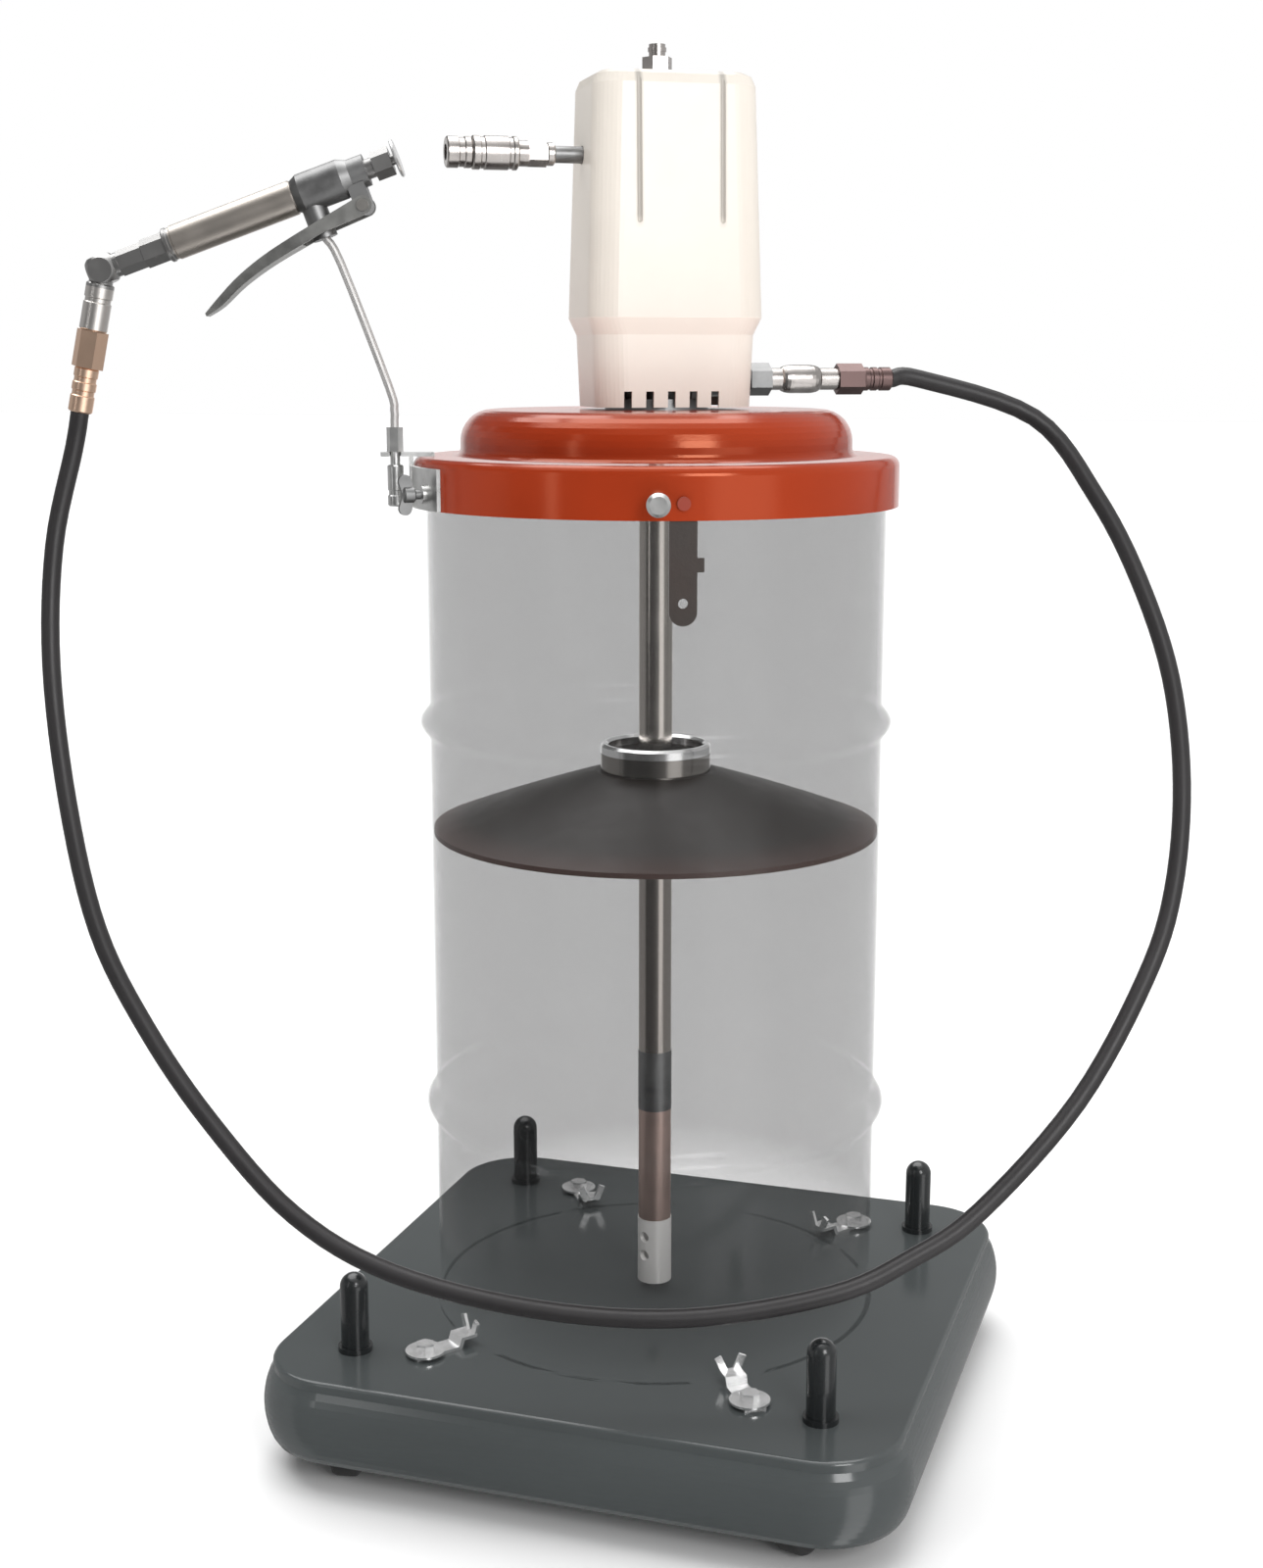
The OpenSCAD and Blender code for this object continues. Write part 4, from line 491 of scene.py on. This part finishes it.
# Nodes that take each finish
FINISH = {
    "deck paint": ["dolly_pan"],
    "black plastic": ["corner_posts"],
    "lever grey": ["gun_lever"],
    "wheel rubber": [
        "caster_wheel_fl", "caster_wheel_fr", "caster_wheel_bl", "caster_wheel_br",
        "cover_gasket", "piston_seal",
    ],
    "steel": [
        "caster_stems", "caster_fork_fl", "caster_fork_fr", "caster_fork_bl", "caster_fork_br",
        "follower_plate", "clamp_nuts", "tie_rods", "pump_rod", "check_ball", "lever_pin",
    ],
    "chrome": ["drum_clips", "clip_bolts"],
    "collar chrome": ["follower_collar"],
    "zinc": [
        "gun_bracket", "hydraulic_coupler", "clamp_screw_front", "clamp_screw_right", "clamp_screw_left",
    ],
    "drum ghost": ["drum_shell"],
    "cone rubber": ["follower_cone", "follower_wiper"],
    "red paint": ["drum_cover"],
    "upper cream": ["upper_housing"],
    "lower cream": ["lower_housing"],
    "aluminium": ["cylinder_base", "air_cylinder", "valve_head", "air_piston"],
    "foot steel": ["foot_valve"],
    "nickel": ["cap_nut", "coupler_body", "coupler_sleeve", "outlet_union"],
    "pipe nickel": ["extension_pipe"],
    "elbow": ["swivel_elbow"],
    "gun knob": ["gun_end_plug"],
    "tube steel": ["pump_tube"],
    "copper": ["lower_tube"],
    "brass": ["hose_ferrules", "packing_gland"],
    "gun grip": ["gun_grip"],
    "dark cast": [
        "tube_coupling", "inlet_nipple", "outlet_adapter", "bracket_screw", "valve_body",
        "pump_base", "base_bolts",
    ],
    "strap brown": ["rim_strap"],
}


def dress_nodes():
    """Give every CAD node its finish and soft edges."""
    for finish, names in FINISH.items():
        for name in names:
            node = NODES[name]
            node.data.materials.clear()
            node.data.materials.append(MATERIALS[finish])
            soften(node, name not in UNBEVELLED)
    NODES["drum_shell"].visible_shadow = NODES["drum_shell"].visible_diffuse = False
    for name in NOT_MIRRORED:
        NODES[name].visible_glossy = False


def soften(obj, bevelled):
    """Smooth shading across shallow edges, with a fine bevel on the sharp ones."""
    for face in obj.data.polygons:
        face.use_smooth = True
    obj.data.set_sharp_from_angle(angle=SMOOTH_ANGLE)
    if bevelled:
        bevel = obj.modifiers.new("edges", "BEVEL")
        bevel.width, bevel.segments = EDGE * MM, EDGE_SEGMENTS
        bevel.limit_method, bevel.angle_limit = "ANGLE", SMOOTH_ANGLE
        bevel.use_clamp_overlap = True
        bevel.harden_normals = True


# Hose

def hose_points():
    """The route from the outlet's ferrule to the gun's, in metres."""
    outlet = Vector((0, 0, OUTLET_Z / MM))
    out_by = (-HOSE_INSERT, 0, HOSE_STEP * HOSE_START_SHARE)
    in_by = (HOSE_STEP * HOSE_END_SHARE, 0, -HOSE_INSERT)
    start = [outlet + PUMP_SIDE * (FERRULE_OUT + d) for d in out_by]
    finish = [GUN_AT / MM + HOSE_AXIS * (FERRULE_GUN + d) for d in in_by]
    return [p * MM for p in start + [Vector(p) for p in HOSE_ROUTE] + finish]


def on_curve(points, t):
    """A point of the smooth curve through the points."""
    last = len(points) - 1
    i = min(int(t), last - 1)
    f = t - i
    a, b, c, d = (points[max(i - 1, 0)], points[i], points[i + 1], points[min(i + 2, last)])
    bend = (2 * a - 5 * b + 4 * c - d) * f ** 2 + (3 * b - a - 3 * c + d) * f ** 3
    return 0.5 * (2 * b + (c - a) * f + bend)


def make_hose():
    """The hose as a smooth round tube along its route."""
    points = hose_points()
    count = (len(points) - 1) * HOSE_STEPS + 1
    line = [on_curve(points, i / HOSE_STEPS) for i in range(count)]
    curve = bpy.data.curves.new("high_pressure_hose", "CURVE")
    curve.dimensions = "3D"
    curve.bevel_depth = HOSE_D / 2 * MM
    curve.bevel_resolution = HOSE_ROUNDNESS
    curve.use_fill_caps = True
    spline = curve.splines.new("POLY")
    spline.points.add(count - 1)
    for point, at in zip(spline.points, line):
        point.co = (*at, 1)
    hose = bpy.data.objects.new("high_pressure_hose", curve)
    bpy.context.scene.collection.objects.link(hose)
    curve.materials.append(MATERIALS["hose rubber"])
    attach(hose, "cover")
    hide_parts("hose")


# Studio

def place_light(data, at, aim):
    """Put a light at a place and turn it to its aim."""
    light = bpy.data.objects.new(data.name, data)
    light.location = at
    light.rotation_euler = (Vector(at) - Vector(aim)).to_track_quat("Z", "Y").to_euler()
    bpy.context.scene.collection.objects.link(light)
    return light


def make_lights():
    """A wide overhead light, and soft boxes that aren't seen themselves."""
    sun = bpy.data.lights.new("overhead", "SUN")
    sun.energy, sun.angle = SUN["power"], SUN["angle"]
    place_light(sun, SUN["at"], (0, 0, 0))
    for name, box in SOFT_BOXES.items():
        data = bpy.data.lights.new(name, "AREA")
        data.shape, data.size, data.size_y, data.energy = "RECTANGLE", box["wide"], box["high"], box["power"]
        place_light(data, box["at"], box["aim"]).visible_camera = False


def make_floor():
    """A plain pale floor that the pump's metal doesn't mirror."""
    mesh = bpy.data.meshes.new("floor")
    corners = [(x * FLOOR_HALF, y * FLOOR_HALF, 0) for x, y in ((-1, -1), (1, -1), (1, 1), (-1, 1))]
    mesh.from_pydata(corners, [], [(0, 1, 2, 3)])
    floor = bpy.data.objects.new("floor", mesh)
    bpy.context.scene.collection.objects.link(floor)
    mesh.materials.append(
        new_material("floor", FLOOR_TONE, metallic=0, roughness=0.9, Specular_IOR_Level=0.1))
    floor.visible_glossy = False


class Sky(Nodes):
    """The surroundings as a brightness for each direction."""

    def __init__(self, world):
        world.use_nodes = True
        super().__init__(world.node_tree)
        self.direction = self.tree.nodes.new("ShaderNodeTexCoord").outputs["Generated"]
        level = self.vector("MULTIPLY", self.direction, (1, 1, 0))["Vector"]
        self.heading = self.vector("NORMALIZE", level)["Vector"]

    def towards(self, axis, span, low, high):
        """A brightness that changes with the angle to an axis."""
        return self.step(self.dot(self.direction, axis), span, low, high, "SMOOTHSTEP")

    def facing(self, axis, span, low, high):
        """A brightness that changes with the heading alone."""
        return self.step(self.dot(self.heading, axis), span, low, high, "SMOOTHSTEP")


def make_sky():
    """White to the eye; what metal reflects is white behind and above the pump, and dimmer to the left."""
    world = bpy.data.worlds.new("studio")
    bpy.context.scene.world = world
    sky = Sky(world)
    back = sky.chain(
        "MULTIPLY",
        sky.towards(VIEW_AXIS, BACK_SPAN, 0, 1),
        sky.towards(UP, BACK_TOP_SPAN, 1, BACK_TOP_SHARE))
    top = sky.towards(UP, TOP_SPAN, 0, TOP_LIGHT)
    sides = sky.chain(
        "MULTIPLY",
        sky.towards(RIGHT_AXIS, SIDE_SPAN, LEFT_LIGHT, RIGHT_LIGHT),
        sky.towards(UP, BELOW_SPAN, BELOW_SHARE, 1))
    card = sky.chain(
        "MULTIPLY",
        sky.facing(CARD_AXIS, CARD_SPAN, 0, CARD_LIGHT),
        sky.towards(UP, CARD_TOP_SPAN, 1, 0))
    rear = sky.chain(
        "MULTIPLY",
        sky.facing(VIEW_AXIS, REAR_SPAN, 0, REAR_LIGHT),
        sky.towards(UP, REAR_TOP_SPAN, 1, 0),
        sky.facing(RIGHT_AXIS, REAR_LEFT_SPAN, 1, 0))
    seen = sky.node("ShaderNodeLightPath").outputs["Is Camera Ray"]
    bright = sky.chain("MAXIMUM", back, top, sides, card, rear, seen)
    sky.link(bright, sky.tree.nodes["Background"].inputs["Color"])


make_camera()
make_paints()
make_plastics()
make_metals()
make_two_tones()
make_hose()
dress_nodes()
make_floor()
make_sky()
make_lights()
bpy.context.scene.view_settings.view_transform = "Standard"
bpy.context.scene.cycles.transparent_max_bounces = CLEAR_BOUNCES
